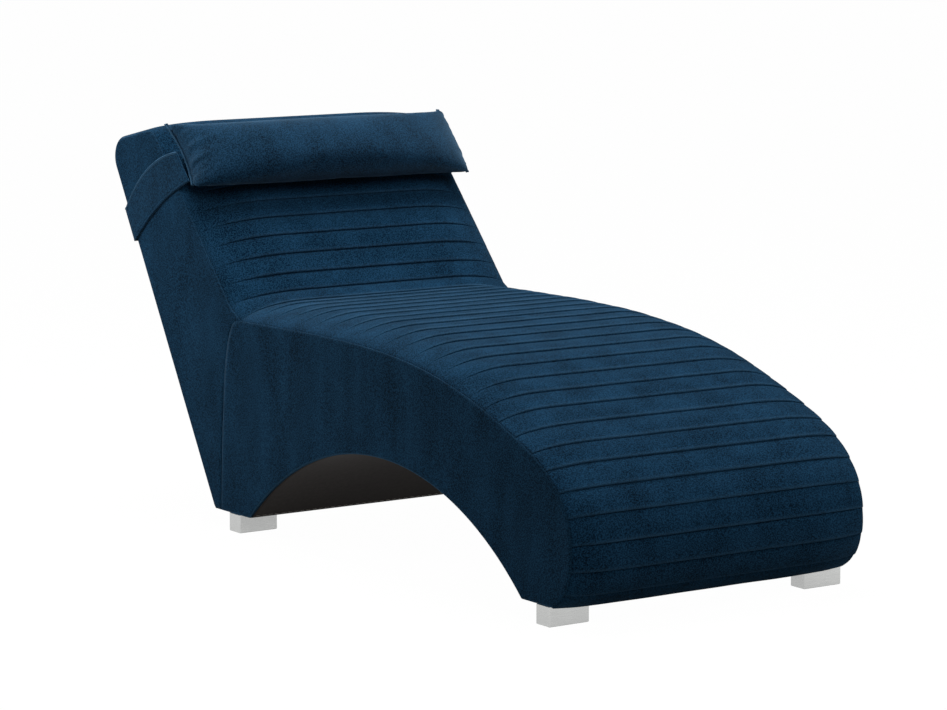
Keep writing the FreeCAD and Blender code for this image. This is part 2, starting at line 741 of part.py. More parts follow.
frame_rails = {name: rail(middle, RAIL_THICKNESS, depth, angle)
               for name, (middle, depth, angle) in RAILS.items()}
screw_points = [p for middle, depth, angle in RAILS.values()
                for p in rail_screw_places(middle, depth, angle)]
screw_holes = {side: Part.makeCompound([screw(p, side, SCREW_PLAY) for p in screw_points])
               for side in (-1, 1)}
for side, name in ((-1, "left"), (1, "right")):
    blank = slab(side_frame_outline(), side * HALF_CARCASS, side * HALF_INSIDE)
    nodes["side_frame_" + name] = blank.cut(screw_holes[side])
for name, shape in frame_rails.items():
    nodes[name] = shape.cut(screw_holes[-1]).cut(screw_holes[1])
nodes["rail_screws"] = Part.makeCompound([screw(p, side) for p in screw_points
                                          for side in (-1, 1)])

FOOT_YS = [SEAMS[0].y + FRONT_FOOT_SETBACK, ARCH_REAR + REAR_FOOT_SETBACK]
foot_screw_places = [(x, y + FOOT_DEPTH / 2) for y in FOOT_YS for side in (-1, 1)
                     for x in foot_screw_axes(side)]
foot_screw_holes = Part.makeCompound([foot_screw(x, y, SCREW_PLAY)
                                      for x, y in foot_screw_places])
nodes["base_board_front"] = board_between(
    BASE_FRONT.y, arch_foot(FRAME_BOTTOM, FRAME_ARCH_LIFT, -1).y, FRAME_BOTTOM,
    BASE_BOARD_TOP, HALF_CARCASS).cut(foot_screw_holes)
nodes["base_board_rear"] = board_between(
    arch_foot(FRAME_BOTTOM, FRAME_ARCH_LIFT, 1).y, REAR_CORNER.y, FRAME_BOTTOM,
    BASE_BOARD_TOP, HALF_CARCASS).cut(foot_screw_holes)
nodes["front_board"] = board_between(FRONT_FACE.y, FRONT_FACE.y + PLYWOOD, BASE_BOARD_TOP,
                                     FRONT_FACE.z, HALF_CARCASS)
nodes["corner_blocks"] = Part.makeCompound(
    corner_block(FRONT_FACE.y + PLYWOOD, BASE_BOARD_TOP, 1))
nodes["arch_board"] = arch_layer(ARCH_BOARD_LIFT, ARCH_BOARD, FRAME_BOTTOM)
rear_top = SEAMS[LAST_SEAM]
board_shallow = REAR_COVER + REAR_WADDING + 2 * LAY
nodes["back_board"] = full_width(rear_strip(board_shallow, board_shallow + BACK_BOARD,
                                            rear_top, FRAME_BOTTOM))

# Springs

seat_places = spring_places(NOSE_SEAM, FOLD_SEAM)
back_places = spring_places(FOLD_SEAM + 1, TOP_SEAM)
spring = zigzag_spring()
clips = Part.makeCompound(list(across_pair(spring_clip)))
for name, places in (("seat", seat_places), ("back", back_places)):
    nodes[name + "_springs"] = Part.makeCompound(set_along(spring, places))
    nodes[name + "_spring_clips"] = Part.makeCompound(
        [solid for group in set_along(clips, places) for solid in group.Solids])

# Felt, foam and wadding

for name, first, last in (("seat_felt", NOSE_SEAM, FOLD_SEAM),
                          ("back_felt", FOLD_SEAM, TOP_SEAM)):
    nodes[name] = full_width(at_depth(first, last, FOAM_DEPTH + LAY)
                             + at_depth(last, first, FELT_DEPTH))
nodes["seat_foam"] = foam(NOSE_SEAM, FOLD_SEAM, at_depth(FOLD_SEAM, NOSE_SEAM, FOAM_DEPTH))
nodes["back_foam"] = foam(FOLD_SEAM, TOP_SEAM, at_depth(TOP_SEAM, FOLD_SEAM, FOAM_DEPTH))
nose_corner = at_depth(NOSE_SEAM, NOSE_SEAM, FELT_DEPTH)[0]
nodes["nose_foam"] = foam(0, NOSE_SEAM, [
    nose_corner, yz(FRONT_FACE.y - LAY, nose_corner.z), yz(FRONT_FACE.y - LAY, BASE_BOARD_TOP),
    yz(BASE_FRONT.y - LAY, BASE_BOARD_TOP)])
rear_inner = rear_top + left_of(heading(REAR_ANGLE)) * (REAR_FRAME_DEPTH - LAY)
top_corners = frame_top(LAY)
nodes["top_foam"] = foam(TOP_SEAM, LAST_SEAM, [
    rear_inner, top_corners[1], top_corners[0], at_depth(TOP_SEAM, TOP_SEAM, FELT_DEPTH)[0]])
nodes["rear_wadding"] = full_width(rear_strip(REAR_COVER + LAY, REAR_COVER + LAY + REAR_WADDING,
                                              rear_top, FRAME_BOTTOM))

# Covers

nodes["quilted_cover_seat"] = quilted(0, FOLD_SEAM)
nodes["quilted_cover_back"] = quilted(FOLD_SEAM, LAST_SEAM)
nodes["side_cover_seat_left"], nodes["side_cover_seat_right"] = across_pair(side_cover_seat)
nodes["side_cover_back_left"], nodes["side_cover_back_right"] = across_pair(side_cover_back)
nodes["rear_cover"] = full_width(rear_strip(0, REAR_COVER, rear_top, BASE_HEIGHT))
nodes["arch_lining"] = arch_layer(0, LINING, BASE_HEIGHT)
rear_cover_heel = rear_strip(REAR_COVER + LAY, REAR_COVER + LAY, rear_top, BASE_HEIGHT)[-1]
nodes["base_lining_front"] = board_between(
    BASE_FRONT.y, arch_foot(BASE_HEIGHT, LINING + LAY, -1).y, BASE_HEIGHT,
    BASE_HEIGHT + LINING, HALF_INSIDE).cut(foot_screw_holes)
nodes["base_lining_rear"] = board_between(
    arch_foot(BASE_HEIGHT, LINING + LAY, 1).y, rear_cover_heel.y, BASE_HEIGHT,
    BASE_HEIGHT + LINING, HALF_INSIDE).cut(foot_screw_holes)

# Feet

for y, place in zip(FOOT_YS, ("front", "rear")):
    for side, name in ((-1, "left"), (1, "right")):
        nodes["foot_" + place + "_" + name] = foot(side, y).cut(foot_screw_holes)
nodes["foot_glides"] = Part.makeCompound([glide(side, y) for y in FOOT_YS for side in (-1, 1)])
nodes["foot_screws"] = Part.makeCompound([foot_screw(x, y) for x, y in foot_screw_places])

# Head cushion and strap

nodes["cushion_filling"] = cushion(CUSHION_SKIN + FILLING_PLAY)
nodes["cushion_cover"] = cushion(0).cut(cushion(CUSHION_SKIN))
nodes["strap_side_left"], nodes["strap_side_right"] = across_pair(strap_side)
nodes["strap_back"] = strap_back()

# The row's origin is on the floor, below the middle of the whole length.
front_end = nodes["quilted_cover_seat"].optimalBoundingBox(False).YMin
rear_end = nodes["quilted_cover_back"].optimalBoundingBox(False).YMax
centring = FreeCAD.Vector(0, -(front_end + rear_end) / 2, 0)
for name, shape in nodes.items():
    shape.translate(centring)
    shape.exportStep("parts/" + name + ".step")
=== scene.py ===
import json
import math

import bmesh
import bpy
import numpy as np
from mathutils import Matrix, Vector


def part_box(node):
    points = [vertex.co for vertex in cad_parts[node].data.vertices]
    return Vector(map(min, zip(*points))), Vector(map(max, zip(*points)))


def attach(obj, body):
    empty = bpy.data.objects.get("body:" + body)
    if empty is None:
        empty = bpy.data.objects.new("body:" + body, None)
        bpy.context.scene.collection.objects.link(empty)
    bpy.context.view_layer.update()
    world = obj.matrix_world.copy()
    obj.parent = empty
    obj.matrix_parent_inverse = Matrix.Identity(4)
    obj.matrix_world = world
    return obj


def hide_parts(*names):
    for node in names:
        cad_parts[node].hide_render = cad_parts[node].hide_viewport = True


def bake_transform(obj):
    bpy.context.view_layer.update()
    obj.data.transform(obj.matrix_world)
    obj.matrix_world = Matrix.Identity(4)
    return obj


bl_info = {
    "name": "Channel-quilted chaise longue",
    "version": (1, 0, 0),
    "blender": (4, 5, 0),
    "location": "3D View > Sidebar > Chaise",
    "description": "Dresses the packed chaise longue with its covers, cushion, strap and finishes",
    "category": "Object",
}

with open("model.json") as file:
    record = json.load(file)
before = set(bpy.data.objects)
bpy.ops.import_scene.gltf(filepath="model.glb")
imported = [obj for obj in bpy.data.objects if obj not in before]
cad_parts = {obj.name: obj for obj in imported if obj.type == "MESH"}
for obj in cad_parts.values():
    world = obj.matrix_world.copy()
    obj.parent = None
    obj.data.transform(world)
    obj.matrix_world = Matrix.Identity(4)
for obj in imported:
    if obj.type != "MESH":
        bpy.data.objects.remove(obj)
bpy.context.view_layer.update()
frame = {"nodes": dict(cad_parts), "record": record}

# Lengths are in millimetres and points are (y, z) in the side view, until a mesh is made.

# The side view of the covers, as the solids have it
SEAT_LINE = np.array([
    (-778.5, 38.0), (-807.6, 57.3), (-834.4, 101.6), (-840.2, 149.9), (-829.7, 204.5),
    (-804.1, 247.9), (-754.0, 293.0), (-657.3, 341.0), (-482.5, 400.9), (-332.3, 432.8),
    (-22.4, 452.9), (324.8, 448.0)])
FOLD = SEAT_LINE[-1]
FOLD_RUN = 52.0
FOLD_ANGLE = 30.0
BACK_LENGTH = 471.0
BACK_ANGLE = 47.7
TOP_DEPTH = 195.0
TOP_FALL = 11.3
TOP_RADIUS = 45.0
REAR_ANGLE = 59.5
BASE = 38.0
HALF_WIDTH = 350.0
HALF_LINING = 342.0
SIDES = ((-1, "left"), (1, "right"))

# Places of the tucks along the seat from under the nose, and up the back from its foot
SEAT_TUCKS = ([0, 1, 2, 3, 4, 5, 6, 7, 8, 9, 27],
              [0, 49, 99, 149, 199, 250, 304, 356, 414, 472, 1415])
BACK_TUCKS = ([28, 29, 30, 31, 32, 33, 34, 35, 36, 37, 38],
              [0, 46.4, 94, 140.5, 187.5, 232, 279, 325, 370, 410, 445.5])
FOLD_SEAM = 27
BACK_SEAM = 28
LAST_TUCK = 36
TOP_SEAM = 38
LAST_SEAM = 43
CHANNEL = 52.0

# The crown of the padding: its height at each tuck, and how it rises from the side seam
CROWN_AT = [0, 2.7, 5.9, 8.1, 12.2, 27, 28, 31, 35.5, 38, 39, 40, 41, 42, 43]
CROWN = [4, 13, 12, 18, 35, 34, 34, 46, 46, 19, 16, 14, 11, 7, 1]
SEAT_RISE = (125.0, 0.66)
BACK_RISE = (170.0, 0.6)

# One channel, from the lip of its tuck to the groove below the next: distance from the tuck,
# height above the padding, and how far the lip leans over the groove
LIP_STEPS = np.array([0, 0.5, 1.1, 2, 3.5, 6, 10, 16, 24, 32, 40, 46, 49.5, 51.2])
LIP_HEIGHT = np.array([-1.7, 0.7, 2.2, 3.1, 3.5, 3.6, 3.5, 3.3, 2.9, 2.3, 1.4, 0.6, 0.0, -0.8])
LIP_LEAN = np.array([0, -0.7, -1.1, -1.0, -0.7, -0.3, 0, 0, 0, 0, 0, 0, 0, 0])

# The tucks over which the channels' ends turn soft, and a painted highlight on the tucks' lips:
# its strength at distances from the tuck, and at some tucks along the cover
SOFT_TUCKS = (7, 12)
PAINTED_LIP_HIGHLIGHT = ([0, 0.5, 1.1, 3.5, 7], [0, 0.5, 1, 0.7, 0])
PAINTED_TUCK_HIGHLIGHT = ([0, 12, 21, FOLD_SEAM, BACK_SEAM], [0.3, 0.35, 0.6, 0.5, 0.2])

# Distances from the side seam where the quilted covers have a column of points
FROM_SEAM = np.array([0, 0.8, 2, 4, 7, 11, 16, 22, 30, 40, 52, 66, 82, 100, 120, 142, 166, 192,
                      220, 250, 281, 313])
SIDE_SEAM = 346.5
COVER_DEPTH = 9.0

# The arch under the seat, and the upright seam between the side panels
ARCH_RADIUS = 705.4
ARCH_CENTRE = np.array([-192.0, -470.4])
UPRIGHT_FOOT = np.array([414.4, 38.0])
UPRIGHT_BOW = 84.0

# The head cushion and its strap
CUSHION_MIDDLE = np.array([508.5, 779.1])
CUSHION_BACK = 67.0
CUSHION_HALF = 350.0
CUSHION_DRAW = 11.0
CUSHION_HEIGHT = 158.0
STRAP_BELOW_CORNER = 161.0
STRAP_BELOW_CUSHION = 36.0
STRAP_BOWS = (27.0, 15.0)
STRAP_OUT = 354.0
STRAP_RIM = np.array([0, 0.006, 0.014, 0.024, 0.038, 0.05, 0.06, 0.068, 0.075, 0.082, 0.09, 0.1,
                      0.12])
STRAP_STEPS = np.r_[STRAP_RIM, np.linspace(0.16, 0.84, 15), 1 - STRAP_RIM[::-1]]

# The velvets: name, how far the pattern is shifted in metres, and the sheen's weight
COVER_VELVET = ("navy_polyester_velvet", (0.0, 0.0, 0.0), 0.16)
CUSHION_VELVET = ("navy_velvet_of_the_cushion", (0.31, 0.17, 0.0), 0.5)
STRAP_VELVET = ("navy_velvet_of_the_strap", (0.11, 0.07, 0.4), 0.24)

CAMERA = (-4.252, -6.203, 1.473)
CAMERA_TURN = 34.51
CAMERA_FALL = 8.21
CAMERA_LENS = 140.66


def linear(hex_colour):
    """An sRGB hex colour as linear red, green and blue, by the standard's power curve."""
    srgb = np.array([int(hex_colour[i:i + 2], 16) for i in (1, 3, 5)]) / 255
    return tuple(np.where(srgb <= 0.04045, srgb / 12.92, ((srgb + 0.055) / 1.055) ** 2.4))


def heading(angle):
    """Unit vector in the side view: 0 degrees points to the head end and 90 up."""
    return np.array([math.cos(math.radians(angle)), math.sin(math.radians(angle))])


def left_of(vectors):
    """Side view vectors turned a quarter turn anticlockwise, which is outwards on the outline."""
    vectors = np.asarray(vectors, float)
    return np.stack([-vectors[..., 1], vectors[..., 0]], axis=-1)


def unit(vectors):
    return vectors / np.linalg.norm(vectors, axis=-1, keepdims=True)


def ease(low, high, value):
    """Smooth step: 0 below low, 1 above high and 3t^2 - 2t^3 between them."""
    t = np.clip((value - low) / (high - low), 0, 1)
    return t * t * (3 - 2 * t)


def rounding(share):
    """Drop of a quarter circle, from 0 where the share is 0 or less to 1 where it is 1."""
    return 1 - np.sqrt(1 - np.clip(share, 0, 1) ** 2)


def run_along(line):
    """Distance of each point of a line from its start, along the line."""
    return np.r_[0, np.cumsum(np.linalg.norm(np.diff(line, axis=0), axis=1))]


def read_line(where, at, line):
    """A side view line, whose points stand at the places at, read straight between them."""
    return np.stack([np.interp(where, at, line[:, i]) for i in (0, 1)], axis=-1)


def smooth_line(points):
    """Natural cubic spline through the points, at every millimetre of its own length.

    Between two points it is the cubic whose second derivative runs straight from the one's
    to the other's, and the two ends have none.
    """
    at = run_along(points)
    gap = np.diff(at)
    matrix = np.diag(np.r_[1, 2 * (gap[:-1] + gap[1:]), 1])
    matrix += np.diag(np.r_[gap[:-1], 0], -1) + np.diag(np.r_[0, gap[1:]], 1)
    slope = np.diff(points, axis=0) / gap[:, None]
    bend = np.linalg.solve(matrix, np.vstack([[0, 0], 6 * np.diff(slope, axis=0), [0, 0]]))
    where = np.linspace(0, at[-1], 6000)
    k = np.clip(np.searchsorted(at, where, side="right") - 1, 0, len(gap) - 1)
    before = (where - at[k])[:, None]
    after = (at[k + 1] - where)[:, None]
    width = gap[k][:, None]
    line = (bend[k] * after ** 3 + bend[k + 1] * before ** 3) / (6 * width)
    line += (points[k] / width - bend[k] * width / 6) * after
    line += (points[k + 1] / width - bend[k + 1] * width / 6) * before
    length = run_along(line)
    steps = np.arange(0, length[-1])
    return steps, read_line(steps, length, line)


def round_corner(corner, angle_in, angle_out, count):
    """Points and normals of the arc that rounds a corner of the outline.

    A point is the arc's centre plus its radius along a normal that turns evenly.
    """
    reach = TOP_RADIUS * math.tan(math.radians(angle_in - angle_out) / 2)
    centre = corner - heading(angle_in) * reach - left_of(heading(angle_in)) * TOP_RADIUS
    turn = np.radians(np.linspace(angle_in, angle_out, count) + 90)
    normals = np.stack([np.cos(turn), np.sin(turn)], axis=1)
    return centre + normals * TOP_RADIUS, normals


def mitre(angle_in, angle_out):
    """Normal at a corner, long enough that both sides keep their distance along it."""
    total = left_of(heading(angle_in)) + left_of(heading(angle_out))
    return total * (2 / total.dot(total))


def outline():
    """The covers' line in the side view as tuck numbers, points and outward normals.

    The seat is a spline, then come the straight fold and back, an arc, the top and an arc.
    """
    length, line = smooth_line(SEAT_LINE)
    seat_at = np.linspace(0, FOLD_SEAM, FOLD_SEAM * 24 + 1)[:-1]
    along = np.interp(seat_at, *SEAT_TUCKS) * (length[-1] / SEAT_TUCKS[1][-1])
    seat = read_line(along, length, line)
    seat_normal = unit(left_of(np.gradient(seat, axis=0)))
    fold_normal = mitre(0, FOLD_ANGLE)
    back_foot_normal = mitre(FOLD_ANGLE, BACK_ANGLE)
    near_fold = ease(FOLD_SEAM - 1, FOLD_SEAM, seat_at)[:, None]
    seat_normal = seat_normal * (1 - near_fold) + fold_normal * near_fold

    back_foot = FOLD + heading(FOLD_ANGLE) * FOLD_RUN
    back_at = np.arange(BACK_SEAM, TOP_SEAM, 0.125)
    back = back_foot + heading(BACK_ANGLE) * np.interp(back_at, *BACK_TUCKS)[:, None]
    back_share = np.clip(back_at - BACK_SEAM, 0, 1)[:, None]
    back_normal = back_foot_normal * (1 - back_share) + left_of(heading(BACK_ANGLE)) * back_share

    top_front = back_foot + heading(BACK_ANGLE) * BACK_LENGTH
    top_rear = top_front + heading(-TOP_FALL) * TOP_DEPTH
    front_arc, front_normal = round_corner(top_front, BACK_ANGLE, -TOP_FALL, 25)
    rear_arc, rear_normal = round_corner(top_rear, -TOP_FALL, REAR_ANGLE - 180, 33)
    at = np.concatenate([seat_at, [FOLD_SEAM], back_at, np.linspace(TOP_SEAM, TOP_SEAM + 2, 25),
                         np.linspace(TOP_SEAM + 3, LAST_SEAM, 33)])
    points = np.vstack([seat, [FOLD], back, front_arc, rear_arc])
    normals = np.vstack([seat_normal, [fold_normal], back_normal, front_normal, rear_normal])
    return at, points, normals


OUTLINE_AT, OUTLINE_POINTS, OUTLINE_NORMALS = outline()
TOP_REAR = (FOLD + heading(FOLD_ANGLE) * FOLD_RUN + heading(BACK_ANGLE) * BACK_LENGTH
            + heading(-TOP_FALL) * TOP_DEPTH)
REAR_HEEL = TOP_REAR - heading(REAR_ANGLE) * ((TOP_REAR[1] - BASE) / heading(REAR_ANGLE)[1])
REAR_OUT = -left_of(heading(REAR_ANGLE))
UP_BACK = heading(BACK_ANGLE)
OFF_BACK = left_of(UP_BACK)
CUSHION_END = CUSHION_MIDDLE + heading(0) * CUSHION_BACK
STRAP_FRONT = CUSHION_END - UP_BACK * STRAP_BELOW_CUSHION


def on_outline(at, table):
    """A table of the outline read at any tuck number, straight between its entries."""
    return read_line(at, OUTLINE_AT, table)


def ripple(seed, *fields):
    """Calm irregularity between -1 and 1: a mean of sines of random direction and phase."""
    rng = np.random.default_rng(seed)
    total = 0
    for _ in range(5):
        phase = rng.uniform(0, 2 * math.pi)
        for field in fields:
            phase = phase + field * rng.uniform(0.5, 1.5) * rng.choice([-1, 1])
        total = total + np.sin(phase)
    return total / 5


def crown(at, inwards):
    """Height of the padding: its full height times (1 - (1 - share)^2)^power.

    The share is the distance from the side seam over the run of the rise.
    """
    on_back = ease(FOLD_SEAM - 0.6, BACK_SEAM, at)
    run = SEAT_RISE[0] + (BACK_RISE[0] - SEAT_RISE[0]) * on_back
    power = SEAT_RISE[1] + (BACK_RISE[1] - SEAT_RISE[1]) * on_back
    share = np.clip(inwards / run, 0, 1)
    return np.interp(at, CROWN_AT, CROWN) * (1 - (1 - share) ** 2) ** power


def to_metres(x, side_view):
    """Points in metres from their place across the seat and their place in the side view."""
    x = np.broadcast_to(x, side_view.shape[:-1])
    return np.concatenate([x[..., None], side_view], axis=-1) * 0.001


def grid_faces(rows, columns):
    """Four-sided faces between neighbouring points of a grid of rows and columns."""
    index = np.arange(rows * columns).reshape(rows, columns)
    faces = np.stack([index[:-1, :-1], index[:-1, 1:], index[1:, 1:], index[1:, :-1]], axis=-1)
    return faces.reshape(-1, 4)


def wall_faces(rows, columns):
    """Faces that join the rims of two like grids, the second numbered after the first."""
    index = np.arange(rows * columns).reshape(rows, columns)
    rim = np.concatenate([index[0], index[1:, -1], index[-1, -2::-1], index[-2:0:-1, 0]])
    following = np.roll(rim, -1)
    second = rows * columns
    return np.stack([rim, rim + second, following + second, following], axis=1)


def new_piece(name, points, faces, material, painted_highlight=None):
    """An object at the origin from points in metres, its doubled points merged.

    The last argument says for each point how strongly a highlight is painted there, from 0 to 1.
    """
    mesh = bpy.data.meshes.new(name)
    mesh.from_pydata(points.reshape(-1, 3).tolist(), [], faces.tolist())
    if painted_highlight is not None:
        layer = mesh.attributes.new("painted_highlight", "FLOAT", "POINT")
        layer.data.foreach_set("value", painted_highlight.ravel().astype(np.float32))
    work = bmesh.new()
    work.from_mesh(mesh)
    bmesh.ops.remove_doubles(work, verts=work.verts, dist=0.00002)
    bmesh.ops.dissolve_degenerate(work, edges=work.edges, dist=0.000005)
    bmesh.ops.recalc_face_normals(work, faces=work.faces)
    work.to_mesh(mesh)
    work.free()
    mesh.shade_smooth()
    mesh.materials.append(material)
    piece = bpy.data.objects.new(name, mesh)
    bpy.context.scene.collection.objects.link(piece)
    return piece


def shell(name, outer, inner, material, painted_highlight=None):
    """A closed piece of cloth from its outer and inner face, two grids of the same size."""
    rows, columns = outer.shape[:2]
    if painted_highlight is not None:
        painted_highlight = np.stack([painted_highlight, np.zeros_like(painted_highlight)])
    face = grid_faces(rows, columns)
    faces = np.concatenate([face, face[:, ::-1] + rows * columns, wall_faces(rows, columns)])
    return new_piece(name, np.stack([outer, inner]), faces, material, painted_highlight)


def set_in_place(piece, slot, body, *nodes):
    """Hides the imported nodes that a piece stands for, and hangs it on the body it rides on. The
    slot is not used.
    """
    if nodes:
        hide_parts(*nodes)
    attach(piece, body)


def add_node(tree, kind, settings=None, values=None, links=None):
    """Adds a shader node: settings are its properties, values its inputs, links their sources."""
    made = tree.nodes.new("ShaderNode" + kind)
    for name, value in (settings or {}).items():
        setattr(made, name, value)
    for name, value in (values or {}).items():
        made.inputs[name].default_value = value
    for name, source in (links or {}).items():
        tree.links.new(source, made.inputs[name])
    return made


def start_material(name):
    """An empty material with its output and the place of a point on its piece."""
    material = bpy.data.materials.new(name)
    material.use_nodes = True
    tree = material.node_tree
    tree.nodes.clear()
    place = add_node(tree, "TexCoord").outputs["Object"]
    return material, tree, place


def finish_material(tree, values, links):
    """The material's surface shader, joined to its output."""
    surface = add_node(tree, "BsdfPrincipled", values=values, links=links)
    add_node(tree, "OutputMaterial", links={"Surface": surface.outputs["BSDF"]})


def opaque(colour):
    return (*colour, 1.0)


def mapped(tree, vector, **values):
    """A place shifted or stretched by a mapping node's inputs."""
    return add_node(tree, "Mapping", values=values,
                    links={"Vector": vector}).outputs["Vector"]


def noise(tree, vector, grain_mm, detail, roughness):
    """A noise whose grains are that many millimetres wide."""
    values = {"Scale": 1000 / grain_mm, "Detail": detail, "Roughness": roughness}
    return add_node(tree, "TexNoise", values=values,
                    links={"Vector": vector}).outputs["Fac"]


def spread(tree, value, low, high, to_low, to_high):
    """A value between low and high carried over to another range."""
    values = {"From Min": low, "From Max": high, "To Min": to_low, "To Max": to_high}
    return add_node(tree, "MapRange", values=values,
                    links={"Value": value}).outputs["Result"]


def mixed_colour(tree, share, low, high):
    """The colour low where the share is 0, and high where it is 1."""
    return add_node(tree, "Mix", {"data_type": "RGBA"},
                    {6: opaque(low), 7: opaque(high)}, {0: share}).outputs[2]


def relief(tree, height, strength, distance):
    """Normals of a surface with that height."""
    return add_node(tree, "Bump", values={"Strength": strength, "Distance": distance},
                    links={"Height": height}).outputs["Normal"]


def velvet(name, seed_shift, sheen):
    """Polyester velvet, woven with a cut pile and dyed navy, made when it is first asked for.

    The short pile is dark from above and pale at a grazing angle. Its tufts lean different
    ways, which mottles it at 2.5 mm, and the nap, laid by brushing, leaves soft patches that are
    70 mm long and lie down the slope of the cloth. A paler colour is mixed in as far as a point
    attribute says: a painted highlight on tuck lips, hems and seams.
    """
    if name in bpy.data.materials:
        return bpy.data.materials[name]
    tint = bpy.context.scene.chaise_colours
    material, tree, place = start_material(name)
    shifted = mapped(tree, place, Location=seed_shift)
    pile = noise(tree, shifted, 2.5, 1.0, 0.5)
    nap = noise(tree, mapped(tree, shifted, Scale=(1.0, 1.0, 0.45)), 70, 3.0, 0.55)
    share = add_node(tree, "Math", {"operation": "ADD"},
                     links={0: spread(tree, pile, 0.4, 0.6, 0.0, 0.66),
                            1: spread(tree, nap, 0.3, 0.7, 0.0, 0.34)})
    colour = mixed_colour(tree, share.outputs["Value"], tint.velvet_deep, tint.velvet_pale)
    # Painted highlight: a paler velvet colour, mixed in as far as each point's attribute says.
    edge = add_node(tree, "Attribute", {"attribute_name": "painted_highlight"})
    painted_highlight_colour = add_node(tree, "Mix", {"data_type": "RGBA"},
                    {7: opaque(tint.velvet_painted_highlight)}, {0: edge.outputs["Fac"], 6: colour})
    finish_material(
        tree,
        {"Sheen Weight": sheen, "Sheen Roughness": 0.5,
         "Sheen Tint": opaque(linear("#86a6bf")), "IOR": 1.45, "Specular IOR Level": 0.0},
        {"Base Color": painted_highlight_colour.outputs[2], "Roughness": spread(tree, nap, 0.3, 0.7, 0.78, 0.92),
         "Normal": relief(tree, pile, 0.45, 0.0006)})
    return material


def spun_lining(name):
    """Black-brown spun-bonded polypropylene, the thin dust cloth under upholstery.

    It is pressed with a grid of small dots, 3 mm apart, and has a slight waxy shine.
    """
    tint = bpy.context.scene.chaise_colours
    material, tree, place = start_material(name)
    dots = add_node(tree, "TexVoronoi", values={"Scale": 1000 / 3, "Randomness": 0.3},
                    links={"Vector": place})
    fibres = noise(tree, place, 9, 5.0, 0.7)
    finish_material(
        tree, {"Roughness": 0.75, "IOR": 1.49, "Specular IOR Level": 0.12},
        {"Base Color": mixed_colour(tree, fibres, tint.lining_deep, tint.lining_pale),
         "Normal": relief(tree, dots.outputs["Distance"], 0.3, 0.0004)})
    return material


def brushed_plate(name, low, high, roughness):
    """Chromed steel sheet with a fine brush mark along the foot, about 0.6 mm wide.

    The mark is stretched forty times along X, and it breaks up the mirror into soft streaks.
    """
    material, tree, place = start_material(name)
    marks = noise(tree, mapped(tree, place, Scale=(0.025, 1.0, 1.0)), 0.6, 3.0, 0.6)
    finish_material(
        tree, {"Metallic": 1.0},
        {"Base Color": mixed_colour(tree, marks, linear(low), linear(high)),
         "Roughness": spread(tree, marks, 0.0, 1.0, roughness - 0.06, roughness + 0.08),
         "Normal": relief(tree, marks, 0.12, 0.0001)})
    return material


def plain_finish(name, low, high, grain_mm, roughness, stretch=(1, 1, 1), metallic=0.0,
                 depth=0.0002):
    """A finish whose colour and relief follow one noise of a real grain size.

    It serves the staples, the plugs and the parts that the covers hide.
    """
    material, tree, place = start_material(name)
    grain = noise(tree, mapped(tree, place, Scale=stretch), grain_mm, 4.0, 0.6)
    finish_material(tree, {"Roughness": roughness, "Metallic": metallic},
                    {"Base Color": mixed_colour(tree, grain, linear(low), linear(high)),
                     "Normal": relief(tree, grain, 0.4, depth)})
    return material


def quilt_grid(rows_at, shape):
    """Outer and inner face of a quilted cover, and where a highlight is painted on it.

    A point is the outline's point, plus along the normal the crown of the padding and the
    height of the channel, plus along the line the lean of the tuck's lip. The channel's height
    falls towards the side seam, where the tuck is sewn flat: to 0.6 of itself on the nose, and
    to 0.1 over a longer way past the soft tucks. Past the seam two more columns turn the cloth
    down behind the side panel.
    """
    left = np.r_[-SIDE_SEAM - 0.8, -SIDE_SEAM - 0.6, FROM_SEAM - SIDE_SEAM]
    drop = np.r_[-6.0, -1.8, np.zeros(len(FROM_SEAM))]
    x = np.r_[left, [0.0], -left[::-1]]
    drop = np.r_[drop, [0.0], drop[::-1]]
    at, x = np.meshgrid(rows_at, x, indexing="ij")
    inwards = np.maximum(SIDE_SEAM - np.abs(x), 0)

    step = (at - np.floor(at)) * CHANNEL
    channelled = np.where(at < LAST_TUCK, 1.0, 0.0)
    soft = ease(*SOFT_TUCKS, at)
    at_seam = 0.6 - 0.5 * soft
    strength = channelled * (at_seam + (1 - at_seam) * ease(4, 60 + 50 * soft, inwards))
    strength = strength * (1 + 0.12 * ripple(3, np.floor(at) * 2.1, x / 90))
    height = np.interp(step, LIP_STEPS, LIP_HEIGHT) * shape.tuck_height / 0.0035 * strength
    lean = np.interp(step, LIP_STEPS, LIP_LEAN) * strength
    lean = lean + shape.tuck_wander * 1000 * channelled * ripple(
        5, np.floor(at + 0.02) * 2.7, x / 110) * ease(0, 40, inwards)
    pucker = shape.wrinkle_height * 1000 * ripple(7, at * 1.7, x / 34) * ease(2, 30, inwards)
    rise = crown(at, inwards) + drop + height + pucker * channelled

    points = on_outline(at, OUTLINE_POINTS)
    normals = on_outline(at, OUTLINE_NORMALS)
    along = np.stack([normals[..., 1], -normals[..., 0]], axis=-1)
    outer = points + normals * rise[..., None] + along * lean[..., None]
    depth = np.minimum(crown(at, inwards) - COVER_DEPTH, rise - 3)
    inner = points + normals * depth[..., None]
    # Painted highlight on each tuck's lip, stronger at some tucks, where the pile would catch the
    # light.
    painted_highlight = np.interp(step, *PAINTED_LIP_HIGHLIGHT) * strength * np.interp(at, *PAINTED_TUCK_HIGHLIGHT)
    painted_highlight = painted_highlight * (0.75 + 0.25 * ripple(9, np.floor(at) * 1.9, x / 60))
    return to_metres(x, outer), to_metres(x, inner), painted_highlight


def channel_rows(first, last):
    """Tuck numbers of every row of points from one tuck to another."""
    rows = np.arange(first, last)[:, None] + LIP_STEPS[None, :] / CHANNEL
    return np.r_[rows.ravel(), last - 0.001]


